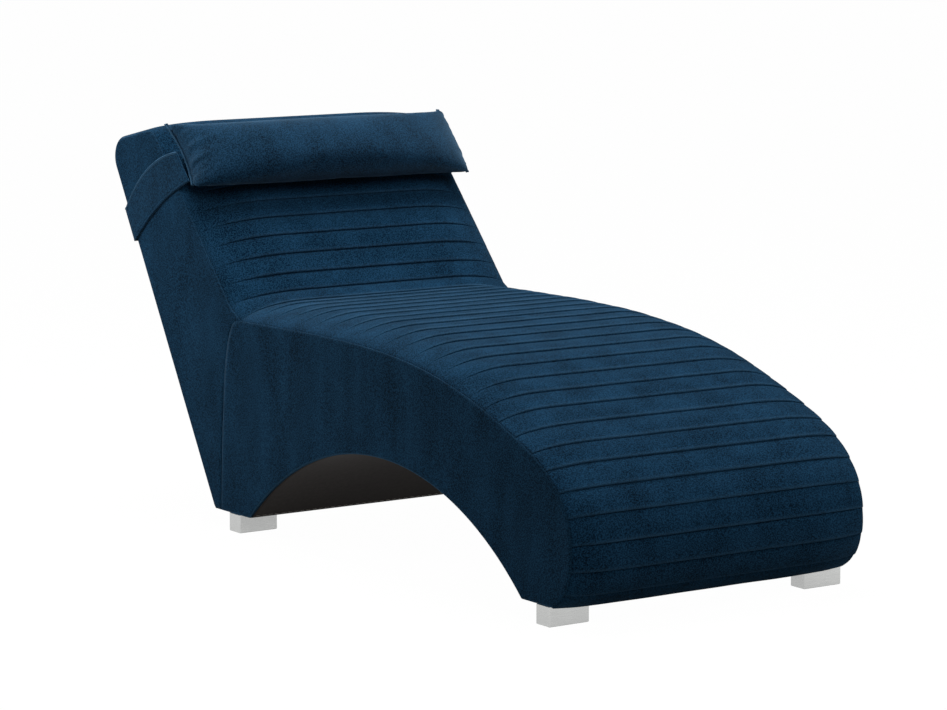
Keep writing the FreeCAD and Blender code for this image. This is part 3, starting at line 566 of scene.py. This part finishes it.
def edge_distance(points, loop):
    """Distance of each side view point from a closed line, by its nearest stretch."""
    stretch = np.roll(loop, -1, axis=0) - loop
    keep = np.linalg.norm(stretch, axis=1) > 1e-6
    start, stretch = loop[keep], stretch[keep]
    flat = points.reshape(-1, 2)
    nearest = np.inf
    at_once = 40
    for begin in range(0, len(start), at_once):
        run = stretch[begin:begin + at_once]
        offset = flat[:, None, :] - start[None, begin:begin + at_once]
        share = np.clip((offset * run).sum(-1) / (run * run).sum(-1), 0, 1)
        away = np.linalg.norm(offset - share[..., None] * run, axis=-1).min(1)
        nearest = np.minimum(nearest, away)
    return nearest.reshape(points.shape[:-1])


def along_line(line, share):
    """Points of a line at shares of its length."""
    at = run_along(line)
    return read_line(share * at[-1], at, line)


def seam_bow(share):
    """How far the upright seam bows to the rear: quickly below the fold, then less and less.

    It is the bow times share^0.26 times (1 - share), from 0 at the fold to 1 at the base.
    """
    share = np.clip(share, 0, 1)
    return UPRIGHT_BOW * share ** 0.26 * (1 - share)


def upright_seam(share):
    """The bowed seam from the fold at 0 down to the base at 1."""
    straight = FOLD + (UPRIGHT_FOOT - FOLD) * share[..., None]
    return straight + np.stack([seam_bow(share), 0 * share], axis=-1)


def arch(share):
    """The arch from its front foot at 0 to its rear foot at 1, an arc of a circle."""
    half = math.asin(math.sqrt(ARCH_RADIUS ** 2 - (BASE - ARCH_CENTRE[1]) ** 2) / ARCH_RADIUS)
    turn = (share * 2 - 1) * half
    return ARCH_CENTRE + ARCH_RADIUS * np.stack([np.sin(turn), np.cos(turn)], axis=-1)


def side_panel(name, side, upper, lower, loop, shape, bowed):
    """A padded side panel between an upper and a lower line of the side view.

    Across, a point runs straight from the lower line to the upper, closer together at the two
    ends. Its height off the side is a quarter circle at the edge, then level, with the calm
    upright waves of a slightly loose cloth. A bowed panel's last rows follow the upright seam,
    and its upper edge is rounded less from the middle to the seam.
    """
    share = np.linspace(0, 1, 61)
    share = 0.5 - 0.5 * np.cos(np.pi * share) * (1 + 0.35 * np.sin(np.pi * share) ** 2)
    across = np.clip(share, 0, 1)[None, :, None]
    side_view = lower[:, None, :] * (1 - across) + upper[:, None, :] * across
    along = np.linspace(0, 1, len(upper))[:, None]
    if bowed:
        side_view[..., 0] += seam_bow(1 - across[..., 0]) * along ** 12
    away = edge_distance(side_view, loop)
    rounded = 3.4 * rounding(1 - away / 8.0)
    if bowed:
        soft = ease(0.32, 0.5, along) * ease(0.5, 0.8, across[..., 0])
        rounded = rounded * (1 - 0.8 * soft)
    waves = ripple(11 + side, side_view[..., 0] / 42, side_view[..., 1] / 150)
    small = ripple(13 + side, side_view[..., 0] / 17, side_view[..., 1] / 22)
    loose = shape.wrinkle_height * 1000 * (1.5 * waves * ease(5, 70, away)
                                           + 0.5 * small * ease(30, 3, away) * ease(0, 4, away))
    x = HALF_WIDTH - rounded + loose - 0.6
    outer = to_metres(side * x, side_view)
    inner = to_metres(side * np.minimum(x - 0.5, HALF_LINING), side_view)
    # Painted highlight: a pale line about 1 mm in from the panel's edges, stronger on its lower
    # half.
    hem = np.exp(-((away - 1.2) / 1.5) ** 2) * np.where(across[..., 0] < 0.5, 0.45, 0.12)
    return shell(name, outer, inner, velvet(*COVER_VELVET), hem)


def seat_panel_lines():
    """Upper line, lower line and closed edge of the side panel under the seat."""
    share = np.linspace(0, 1, 180)
    top_line = on_outline(np.linspace(0, FOLD_SEAM, 400), OUTLINE_POINTS)
    bottom_line = np.vstack([[top_line[0]], arch(np.linspace(0, 1, 200)), [UPRIGHT_FOOT]])
    upper = along_line(top_line, np.interp(share, [0, 0.2, 0.4, 1], [0, 0.16, 0.42, 1]))
    lower = along_line(bottom_line, np.interp(share, [0, 0.2, 0.4, 1], [0, 0.085, 0.3, 1]))
    seam = upright_seam(np.linspace(0, 1, 40))
    loop = np.vstack([top_line, seam, bottom_line[::-1]])
    return upper, lower, loop


def back_panel_lines():
    """Front line, rear line and closed edge of the side panel of the backrest."""
    seam = upright_seam(np.linspace(1, 0, 40))
    middle = TOP_SEAM + 2.5
    front_line = np.vstack([seam, on_outline(np.linspace(FOLD_SEAM, middle, 240),
                                             OUTLINE_POINTS)])
    rear_line = np.vstack([[REAR_HEEL], on_outline(np.linspace(LAST_SEAM, middle, 160),
                                                   OUTLINE_POINTS)])
    share = np.linspace(0, 1, 150)
    rear_share = np.interp(share, [0, 0.8, 1], [0, 0.83, 1])
    loop = np.vstack([front_line, rear_line[::-1]])
    return along_line(front_line, share), along_line(rear_line, rear_share), loop


def length_property(name, description, default, least, most):
    return bpy.props.FloatProperty(name=name, description=description, default=default,
                                   min=least, max=most, unit="LENGTH", precision=4)


class ChaiseShape(bpy.types.PropertyGroup):
    tuck_height: length_property(
        "Tuck height", "Height of the sewn tucks above the padding", 0.0035, 0.0, 0.008)
    tuck_wander: length_property(
        "Tuck wander", "How far a tuck strays from a straight line", 0.0011, 0.0, 0.004)
    wrinkle_height: length_property(
        "Wrinkle height", "Height of the calm waves in the cloth", 0.0005, 0.0, 0.003)
    cushion_thickness: length_property(
        "Cushion thickness", "Thickness of the head cushion before it swells", 0.099, 0.05, 0.12)
    cushion_swell: length_property(
        "Cushion swell", "The most that a point of the cushion may move out", 0.006, 0.0, 0.03)
    end_pucker: length_property(
        "End pucker", "Height of the gathers at the cushion's end seams", 0.0022, 0.0, 0.005)
    strap_width: length_property(
        "Strap width", "Width of the elastic strap", 0.080, 0.04, 0.1)
    staple_pitch: length_property(
        "Staple pitch", "Distance between the staples of the lining", 0.015, 0.008, 0.05)


def colour_property(name, description, hex_colour):
    return bpy.props.FloatVectorProperty(name=name, description=description, subtype="COLOR",
                                         size=3, min=0, max=1, default=linear(hex_colour))


class ChaiseColours(bpy.types.PropertyGroup):
    velvet_deep: colour_property("Velvet, deep", "Between the fibres of the pile", "#020f1c")
    velvet_pale: colour_property("Velvet, pale", "Tips of the pile", "#1a3e5a")
    # Painted highlight: the paler velvet laid on tuck lips, hems and seams.
    velvet_painted_highlight: colour_property("Velvet, edges", "Painted highlight on tucks, hems and seams", "#3e617d")
    lining_deep: colour_property("Lining, deep", "Hollows of the dust cloth", "#1b1817")
    lining_pale: colour_property("Lining, pale", "Fibres of the dust cloth", "#3a3533")
    floor: colour_property("Floor", "The studio floor", "#a4a4a2")


class CHAISE_OT_quilted_covers(bpy.types.Operator):
    """Velvet covers of seat and back, sewn in cross channels with a tuck at each seam"""
    bl_idname = "chaise.quilted_covers"
    bl_label = "Quilted covers"

    def execute(self, context):
        shape = context.scene.chaise_shape
        hem = np.linspace(LAST_SEAM - 5, LAST_SEAM, 41)
        parts = (("seat_quilt", channel_rows(0, FOLD_SEAM), "quilted_cover_seat"),
                 ("back_quilt", np.r_[channel_rows(FOLD_SEAM, TOP_SEAM), hem],
                  "quilted_cover_back"))
        for name, rows_at, node in parts:
            outer, inner, painted_highlight = quilt_grid(np.unique(rows_at), shape)
            piece = shell(name, outer, inner, velvet(*COVER_VELVET), painted_highlight)
            set_in_place(piece, "velvet", "chaise", node)
        return {"FINISHED"}


class CHAISE_OT_side_panels(bpy.types.Operator):
    """Plain velvet panels on both sides, sewn together at an upright seam below the fold"""
    bl_idname = "chaise.side_panels"
    bl_label = "Side panels"

    def execute(self, context):
        shape = context.scene.chaise_shape
        for side, hand in SIDES:
            for place, lines in (("seat", seat_panel_lines()), ("back", back_panel_lines())):
                where = "%s_%s" % (place, hand)
                piece = side_panel("side_panel_" + where, side, *lines, shape, place == "seat")
                set_in_place(piece, "velvet", "chaise", "side_cover_" + where)
        return {"FINISHED"}


class CHAISE_OT_rear_cover(bpy.types.Operator):
    """Plain velvet on the sloping rear face, padded and drawn in at its edges"""
    bl_idname = "chaise.rear_cover"
    bl_label = "Rear cover"

    def execute(self, context):
        shape = context.scene.chaise_shape
        top = OUTLINE_POINTS[-1]
        length = np.linalg.norm(top - REAR_HEEL)
        share = 0.5 - 0.5 * np.cos(np.linspace(0, np.pi, 90))
        across = 0.5 - 0.5 * np.cos(np.linspace(0, np.pi, 70))
        along, x = np.meshgrid(share * length, (across * 2 - 1) * SIDE_SEAM, indexing="ij")
        away = np.minimum(np.minimum(along, length - along), SIDE_SEAM - np.abs(x))
        height = 1.2 - 4.2 * rounding(1 - away / 9.0)
        height = height + shape.wrinkle_height * 1000 * 1.6 * ripple(
            21, along / 120, x / 48) * ease(4, 60, away)
        line = REAR_HEEL + heading(REAR_ANGLE) * along[..., None]
        outer = to_metres(x, line + REAR_OUT * height[..., None])
        inner = to_metres(x, line + REAR_OUT * (np.minimum(height - 1, -3.8))[..., None])
        piece = shell("rear_panel", outer, inner, velvet(*COVER_VELVET))
        set_in_place(piece, "velvet", "chaise", "rear_cover")
        return {"FINISHED"}


class CHAISE_OT_linings(bpy.types.Operator):
    """Dust cloth under the arch and the base, with the staples along its turned edges"""
    bl_idname = "chaise.linings"
    bl_label = "Linings and staples"

    def execute(self, context):
        cloth = spun_lining("spunbond_dust_cloth")
        share, x = np.meshgrid(np.linspace(0, 1, 160), np.linspace(-1, 1, 81) * HALF_LINING,
                               indexing="ij")
        line = arch(share)
        out = unit(line - ARCH_CENTRE)
        inwards = HALF_LINING - np.abs(x)
        slack = 0.5 * ripple(31, share * 22, x / 60) * ease(0, 40, inwards)
        slack = slack * ease(0, 0.05, np.minimum(share, 1 - share))
        outer = to_metres(x, line + out * (0.2 + slack)[..., None])
        inner = to_metres(x, line + out * (1.5 + slack)[..., None])
        piece = shell("arch_dust_cloth", outer, inner, cloth)
        set_in_place(piece, "lining", "chaise", "arch_lining")

        for place in ("front", "rear"):
            low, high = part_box("base_lining_" + place)
            y, x = np.meshgrid(np.linspace(low.y, high.y, 16) * 1000,
                               np.linspace(-1, 1, 61) * HALF_LINING, indexing="ij")
            sag = 0.25 * ripple(33, y / 30, x / 45)
            face = to_metres(x, np.stack([y, BASE + 0.3 + sag], axis=-1))
            back = to_metres(x, np.stack([y, BASE + 1.4 + sag], axis=-1))
            piece = shell("base_dust_cloth_" + place, face, back, cloth)
            set_in_place(piece, "lining", "chaise", "base_lining_" + place)

        self.staples(context.scene.chaise_shape.staple_pitch * 1000)
        return {"FINISHED"}

    def staples(self, pitch):
        """Flat wire bridges 9 mm long across the arch's two feet, 5 mm up from the base."""
        reach = HALF_LINING - 12
        places = np.linspace(-reach, reach, int(2 * reach / pitch))
        box = np.array([(i, j, k) for i in (-4.5, 4.5) for j in (-0.4, 0.4)
                        for k in (-0.5, 0.2)])
        corners = []
        for end in (0.006, 0.994):
            spot = arch(np.array([end]))[0]
            out = unit(spot - ARCH_CENTRE)
            along = left_of(out)
            side_view = spot + box[:, 1:2] * along + box[:, 2:3] * out
            corners.append(np.stack([
                np.column_stack([box[:, 0] + place, side_view]) for place in places]))
        points = np.concatenate(corners) * 0.001
        faces = np.array([(0, 1, 3, 2), (4, 6, 7, 5), (0, 4, 5, 1), (2, 3, 7, 6), (0, 2, 6, 4),
                          (1, 5, 7, 3)])
        every = (faces[None] + np.arange(len(points))[:, None, None] * 8).reshape(-1, 4)
        wire = plain_finish("galvanised_staple_wire", "#4a4743", "#8b8780", 1.5, 0.45,
                            metallic=1.0, depth=0.00005)
        piece = new_piece("lining_staples", points, every, wire)
        set_in_place(piece, "zinc_steel", "chaise")


def strap_lines(width):
    """The strap's upper and lower line on the side, each a parabola over its chord."""
    half = UP_BACK * width / 2
    rear_top = TOP_REAR - heading(REAR_ANGLE) * STRAP_BELOW_CORNER
    rear_low = rear_top - heading(REAR_ANGLE) * width
    share = np.linspace(0, 1, 60)[:, None]
    lines = []
    for front, rear, bow in ((STRAP_FRONT + half, rear_top, STRAP_BOWS[0]),
                             (STRAP_FRONT - half, rear_low, STRAP_BOWS[1])):
        rise = left_of(unit(rear - front)) * 4 * bow * share * (1 - share)
        lines.append(front + (rear - front) * share + rise)
    return lines


def hemmed(share, width):
    """Height of a strap's face, and where a highlight is painted on it.

    It is level, with a hem 6 mm from each edge and a soft round at the rim; where the upper rim
    and the upper hem's stitches catch the light, a highlight is painted.
    """
    edge = np.minimum(share, 1 - share) * width
    stitch = -1.1 * np.exp(-((edge - 6.0) / 0.8) ** 2)
    hem = 0.6 * (1 - ease(5, 7, edge))
    rim = -2.2 * rounding(1 - edge / 2.2)
    from_top = (1 - share) * width
    # Painted highlight at the upper rim and along the upper hem's stitches.
    painted_highlight = 0.9 * np.exp(-((from_top - 0.8) / 1.0) ** 2)
    painted_highlight = painted_highlight + 0.6 * np.exp(-((from_top - 4.6) / 0.9) ** 2)
    return stitch + hem + rim, painted_highlight


class CHAISE_OT_strap(bpy.types.Operator):
    """Hemmed velvet strap from the cushion's ends round the back"""
    bl_idname = "chaise.strap"
    bl_label = "Strap"

    def execute(self, context):
        cloth = velvet(*STRAP_VELVET)
        width = context.scene.chaise_shape.strap_width * 1000
        upper, lower = strap_lines(width)
        across = STRAP_STEPS[None, :, None]
        side_view = lower[:, None] * (1 - across) + upper[:, None] * across
        height, painted_highlight = hemmed(np.broadcast_to(STRAP_STEPS, side_view.shape[:2]), width)
        for side, hand in SIDES:
            piece = shell("strap_run_" + hand, to_metres(side * (STRAP_OUT + height), side_view),
                          to_metres(side * 350.6, side_view), cloth, painted_highlight)
            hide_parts("strap_side_" + hand)
            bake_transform(piece)

        along, x = np.meshgrid(STRAP_STEPS, np.linspace(-1, 1, 90) * STRAP_OUT, indexing="ij")
        line = lower[-1] + (upper[-1] - lower[-1]) * along[..., None]
        height, painted_highlight = hemmed(along, width)
        piece = shell("strap_rear_run", to_metres(x, line + REAR_OUT * (3.4 + height)[..., None]),
                      to_metres(x, line + REAR_OUT * 0.4), cloth, painted_highlight)
        set_in_place(piece, "strap_velvet", "strap_back", "strap_back")
        return {"FINISHED"}


def corner_hang(x_share):
    """How far the cushion's lower edge hangs down towards its left and right corner."""
    return np.where(x_share > 0, 19.0, 8.0) * np.abs(x_share) ** 5


def cushion_points(x_share, turn, thickness):
    """The cushion's skin: rings round a line that bows forward from its two flat ends.

    Fullness is sqrt(1 - |share|^3). A ring is a superellipse of power 2.1, as high as the
    cushion all along and as thick as the fullness allows, so both ends close to a seam as a
    sewn sleeve does. The filling draws the middle of each end seam in, by a parabola between
    its corners, and each lower corner hangs down a little, more so the right one.
    """
    fullness = np.sqrt(np.maximum(1 - np.abs(x_share) ** 3, 0))
    up = np.sign(np.cos(turn)) * np.abs(np.cos(turn)) ** (2 / 2.1)
    off = np.sign(np.sin(turn)) * np.abs(np.sin(turn)) ** (2 / 2.1)
    thick = 12 + (thickness - 12) * fullness
    high = CUSHION_HEIGHT * (1 + 0.02 * np.abs(x_share) ** 6 - 0.02 * fullness)
    centre = CUSHION_MIDDLE + heading(0) * (CUSHION_BACK * (1 - fullness))[..., None]
    hang = corner_hang(x_share) * np.clip(-up, 0, 1) ** 1.5
    side_view = centre + UP_BACK * (up * high / 2 - hang)[..., None]
    side_view = side_view + OFF_BACK * (off * thick / 2)[..., None]
    drawn = CUSHION_DRAW * (1 - up ** 2) * np.abs(x_share) ** 10 * np.sign(x_share)
    return to_metres(x_share * (CUSHION_HALF - 3) - drawn, side_view)


def read_vectors(items, name):
    """That vector of every item, one in a row."""
    values = np.empty(len(items) * 3)
    items.foreach_get(name, values)
    return values.reshape(-1, 3)


def swell_cloth(piece, most):
    """Cloth simulation under air pressure, with each point's path capped, then applied."""
    start = read_vectors(piece.data.vertices, "co")
    ends = piece.vertex_groups.new(name="end_seams")
    held = np.flatnonzero(np.abs(start[:, 0]) > (CUSHION_HALF - CUSHION_DRAW - 6) * 0.001)
    ends.add(held.tolist(), 1.0, "REPLACE")
    cloth = piece.modifiers.new("Cloth", "CLOTH")
    cloth.settings.vertex_group_mass = "end_seams"
    cloth.settings.use_pressure = True
    cloth.settings.uniform_pressure_force = 4.0
    cloth.settings.quality = 6
    cloth.settings.tension_stiffness = 18
    cloth.settings.compression_stiffness = 18
    cloth.settings.bending_stiffness = 0.6
    cloth.settings.effector_weights.gravity = 0
    scene = bpy.context.scene
    for step in range(1, 21):
        scene.frame_set(step)
    swollen = piece.evaluated_get(bpy.context.evaluated_depsgraph_get())
    move = read_vectors(swollen.data.vertices, "co") - start
    length = np.linalg.norm(move, axis=1, keepdims=True)
    move = move * np.minimum(1, most / np.maximum(length, 1e-9))
    piece.modifiers.remove(cloth)
    piece.data.vertices.foreach_set("co", (start + move).ravel())
    piece.data.update()
    scene.frame_set(1)


def pucker_ends(piece, height):
    """Small gathers that run out from both end seams and die off along the cushion.

    A point moves along its normal by a wave along the seam times exp(-distance / 24 mm).
    """
    points = read_vectors(piece.data.vertices, "co") * 1000
    normals = read_vectors(piece.data.vertex_normals, "vector")
    up = np.clip((points[:, 1:] - CUSHION_END).dot(UP_BACK) * 2 / CUSHION_HEIGHT, -1, 1)
    away = CUSHION_HALF - 3 - CUSHION_DRAW * (1 - up ** 2) - np.abs(points[:, 0])
    away = np.maximum(away, 0)
    wave = ripple(43, up * 19, np.sign(points[:, 0]) * 2.0)
    move = height * 1000 * wave * np.exp(-away / 24) * ease(0, 4, away) * (0.8 + 0.8 * up ** 2)
    piece.data.vertices.foreach_set("co", ((points + normals * move[:, None]) / 1000).ravel())
    piece.data.update()


class CHAISE_OT_head_cushion(bpy.types.Operator):
    """Head cushion: a filled velvet sleeve with a narrow sewn flange at each end"""
    bl_idname = "chaise.head_cushion"
    bl_label = "Head cushion"

    def execute(self, context):
        shape = context.scene.chaise_shape
        thickness = shape.cushion_thickness * 1000
        ends = 1 - np.array([0, 0.004, 0.012, 0.024, 0.04, 0.065, 0.1, 0.15])
        x_share = np.r_[-ends, np.linspace(-0.8, 0.8, 49), ends[::-1]]
        turn = np.linspace(0, 2 * math.pi, 97)
        share_grid, turn_grid = np.meshgrid(x_share, turn, indexing="ij")
        points = cushion_points(share_grid, turn_grid, thickness)
        rows, columns = points.shape[:2]
        caps = np.array([[r * columns + c, r * columns + c + 1, r * columns + columns - 3 - c,
                          r * columns + columns - 2 - c]
                         for r in (0, rows - 1) for c in range(columns // 2 - 1)])
        faces = np.concatenate([grid_faces(rows, columns), caps])
        piece = new_piece("head_cushion", points, faces, velvet(*CUSHION_VELVET))
        remesh = piece.modifiers.new("Remesh", "REMESH")
        remesh.mode = "VOXEL"
        remesh.voxel_size = 0.005
        context.view_layer.objects.active = piece
        piece.select_set(True)
        bpy.ops.object.modifier_apply(modifier=remesh.name)
        swell_cloth(piece, shape.cushion_swell)
        piece.data.shade_smooth()
        smooth = piece.modifiers.new("Subdivision", "SUBSURF")
        smooth.levels = 1
        smooth.render_levels = 1
        bpy.ops.object.modifier_apply(modifier=smooth.name)
        pucker_ends(piece, shape.end_pucker)
        set_in_place(piece, "cushion_velvet", "head_cushion", "cushion_cover",
                     "cushion_filling")
        self.flanges()
        return {"FINISHED"}

    def flanges(self):
        """The sewn edge at each end: a strip 9 mm wide and 2.4 mm thick with a stitch groove."""
        along, out = np.meshgrid(np.linspace(-1, 1, 80), np.linspace(0, 1, 14), indexing="ij")
        ruffle = 0.7 * ripple(41, along * 14) * out
        groove = 0.6 * np.exp(-((out - 0.45) / 0.09) ** 2)
        thick = (1.4 - groove) * (1 - rounding((out - 0.85) / 0.15))
        # Painted highlight along the flange's rim and beside its stitch groove.
        painted_highlight = 0.5 * ease(0.5, 0.9, out) + 0.4 * np.exp(-((out - 0.2) / 0.12) ** 2)
        high = along * CUSHION_HEIGHT / 2 * (1 - 0.015 * out)
        for side, hand in SIDES:
            hang = corner_hang(float(side)) * np.clip(-along, 0, 1) ** 1.5
            line = CUSHION_END + UP_BACK * (high - hang)[..., None]
            x = side * (CUSHION_HALF - 6 + 8 * out - CUSHION_DRAW * (1 - along ** 2))
            front = to_metres(x, line + OFF_BACK * (ruffle + thick)[..., None])
            back = to_metres(x, line + OFF_BACK * (ruffle - thick)[..., None])
            piece = shell("cushion_flange_" + hand, front, back, velvet(*CUSHION_VELVET), painted_highlight)
            set_in_place(piece, "cushion_velvet", "head_cushion")


def dress_nodes(finishes):
    """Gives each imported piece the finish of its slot, where there is one, for its plain one."""
    for part in frame["record"]["subparts"]:
        if part["material_slot"] not in finishes:
            continue
        for slot in frame["nodes"][part["node"]].material_slots:
            slot.link = "OBJECT"
            slot.material = finishes[part["material_slot"]]


class CHAISE_OT_feet(bpy.types.Operator):
    """Brushed chromed block feet and the plastic plugs they stand on"""
    bl_idname = "chaise.feet"
    bl_label = "Feet"

    def execute(self, context):
        dress_nodes({
            "foot_metal": brushed_plate("brushed_chromed_steel", "#c4c5c4", "#e9eae9", 0.24),
            "glide_plastic": plain_finish("black_polypropylene_plug", "#141414", "#242424", 1.2,
                                          0.55)})
        return {"FINISHED"}


class CHAISE_OT_hidden_parts(bpy.types.Operator):
    """Wood, boards, springs, felt, foam, filling and screws inside the covers"""
    bl_idname = "chaise.hidden_parts"
    bl_label = "Hidden parts"

    def execute(self, context):
        even = (1, 1, 1)
        dress_nodes({slot: plain_finish(*finish) for slot, *finish in (
            ("beech", "planed_beech", "#a97f52", "#d0a676", 6, 0.6, (0.1, 1, 1)),
            ("plywood", "birch_plywood", "#b7925f", "#d8bb8a", 9, 0.65, (0.15, 1, 1)),
            ("hardboard", "oil_hardboard", "#4d3420", "#6d4c31", 2, 0.7),
            ("zinc_steel", "bright_zinc_plate", "#b4b6b0", "#dcddd6", 1, 0.35, even, 1.0, 5e-5),
            ("spring_steel", "black_lacquered_spring_wire", "#151515", "#2b2b2c", 1, 0.4, even,
             0.6, 5e-5),
            ("felt", "recycled_fibre_felt", "#55534f", "#8a8780", 2.5, 0.95),
            ("foam", "cut_polyurethane_foam", "#cdbf8e", "#ede3bd", 1.5, 0.9),
            ("wadding", "polyester_fibre_wadding", "#d8d8d4", "#f6f6f3", 7, 0.95))})
        return {"FINISHED"}


class CHAISE_OT_stage(bpy.types.Operator):
    """Pale floor, soft studio lamps, and the camera at the photograph's angle"""
    bl_idname = "chaise.stage"
    bl_label = "Stage"

    def execute(self, context):
        scene = context.scene
        scene.view_settings.view_transform = "Standard"
        self.floor(scene.chaise_colours.floor)
        self.world(scene)
        self.lamp("key", (2.0, -3.0, 3.6), (0.0, -0.1, 0.35), 2.6, 105)
        self.lamp("fill", (-1.7, 1.4, 1.4), (-0.2, 0.55, 0.5), 1.0, 26)
        self.lamp("top", (0.1, 0.5, 3.8), (0.0, 0.2, 0.4), 2.0, 125)
        data = bpy.data.cameras.new("camera")
        data.lens = CAMERA_LENS
        data.sensor_width = 36.0
        data.clip_end = 100
        camera = bpy.data.objects.new("camera", data)
        camera.location = CAMERA
        camera.rotation_euler = (math.radians(90 - CAMERA_FALL), 0, -math.radians(CAMERA_TURN))
        scene.collection.objects.link(camera)
        scene.camera = camera
        return {"FINISHED"}

    def seen_white(self, tree):
        """1 for rays from the camera, and for those that gloss or glass sends on."""
        path = add_node(tree, "LightPath").outputs
        seen = path["Is Camera Ray"]
        for ray in ("Is Glossy Ray", "Is Transmission Ray"):
            seen = add_node(tree, "Math", {"operation": "MAXIMUM"},
                            links={0: seen, 1: path[ray]}).outputs["Value"]
        return seen

    def floor(self, colour):
        """A level floor that glows white, less in gloss, and keeps a faint shadow."""
        points = np.array([(-1, -1, 0), (1, -1, 0), (1, 1, 0), (-1, 1, 0)]) * 30.0
        material, tree, _ = start_material("matt_studio_floor")
        diffuse = add_node(tree, "BsdfDiffuse", values={"Color": opaque(colour)})
        white = add_node(tree, "Emission", values={"Strength": 1.03})
        path = add_node(tree, "LightPath")
        seen = add_node(tree, "Math", {"operation": "MULTIPLY"}, values={1: 0.33},
                        links={0: path.outputs["Is Camera Ray"]})
        share = add_node(tree, "Math", {"operation": "MULTIPLY_ADD"},
                         values={1: 0.63},
                         links={0: self.seen_white(tree), 2: seen.outputs["Value"]})
        mixed = add_node(tree, "MixShader",
                         links={0: share.outputs["Value"], 1: diffuse.outputs["BSDF"],
                                2: white.outputs["Emission"]})
        add_node(tree, "OutputMaterial", links={"Surface": mixed.outputs["Shader"]})
        new_piece("floor", points, np.array([[0, 1, 2, 3]]), material)

    def world(self, scene):
        """A pale room: white to the camera, and a calm level of light on the object."""
        world = bpy.data.worlds.new("studio")
        world.use_nodes = True
        tree = world.node_tree
        tree.nodes.clear()
        level = add_node(tree, "MapRange", values={"To Min": 0.12, "To Max": 1.05},
                         links={"Value": self.seen_white(tree)})
        light = add_node(tree, "Background",
                         values={"Color": (1.0, 1.0, 1.0, 1.0)},
                         links={"Strength": level.outputs["Result"]})
        add_node(tree, "OutputWorld", links={"Surface": light.outputs["Background"]})
        scene.world = world

    def lamp(self, name, place, target, size, power):
        """A square soft box that faces its target."""
        data = bpy.data.lights.new(name, "AREA")
        data.size = size
        data.energy = power
        lamp = bpy.data.objects.new(name, data)
        away = np.array(place) - np.array(target)
        flat = math.hypot(away[0], away[1])
        lamp.location = place
        lamp.rotation_euler = (math.atan2(flat, away[2]), 0,
                               math.atan2(away[0], -away[1]))
        bpy.context.scene.collection.objects.link(lamp)


OPERATORS = (CHAISE_OT_stage, CHAISE_OT_quilted_covers, CHAISE_OT_side_panels,
             CHAISE_OT_rear_cover, CHAISE_OT_linings, CHAISE_OT_strap, CHAISE_OT_head_cushion,
             CHAISE_OT_feet, CHAISE_OT_hidden_parts)


class CHAISE_PT_sidebar(bpy.types.Panel):
    """Lists the chaise's sizes, colours and pieces"""
    bl_idname = "CHAISE_PT_sidebar"
    bl_label = "Chaise longue"
    bl_space_type = "VIEW_3D"
    bl_region_type = "UI"
    bl_category = "Chaise"

    def draw(self, context):
        for group in (context.scene.chaise_shape, context.scene.chaise_colours):
            box = self.layout.box()
            for name in group.__annotations__:
                box.prop(group, name)
        for operator in OPERATORS:
            self.layout.operator(operator.bl_idname)


CLASSES = (ChaiseShape, ChaiseColours, *OPERATORS, CHAISE_PT_sidebar)


def register():
    for item in CLASSES:
        bpy.utils.register_class(item)
    bpy.types.Scene.chaise_shape = bpy.props.PointerProperty(type=ChaiseShape)
    bpy.types.Scene.chaise_colours = bpy.props.PointerProperty(type=ChaiseColours)


def unregister():
    del bpy.types.Scene.chaise_colours
    del bpy.types.Scene.chaise_shape
    for item in reversed(CLASSES):
        bpy.utils.unregister_class(item)


def main():
    register()
    for operator in OPERATORS:
        getattr(bpy.ops.chaise, operator.bl_idname.split(".")[1])()


if __name__ == "__main__":
    main()
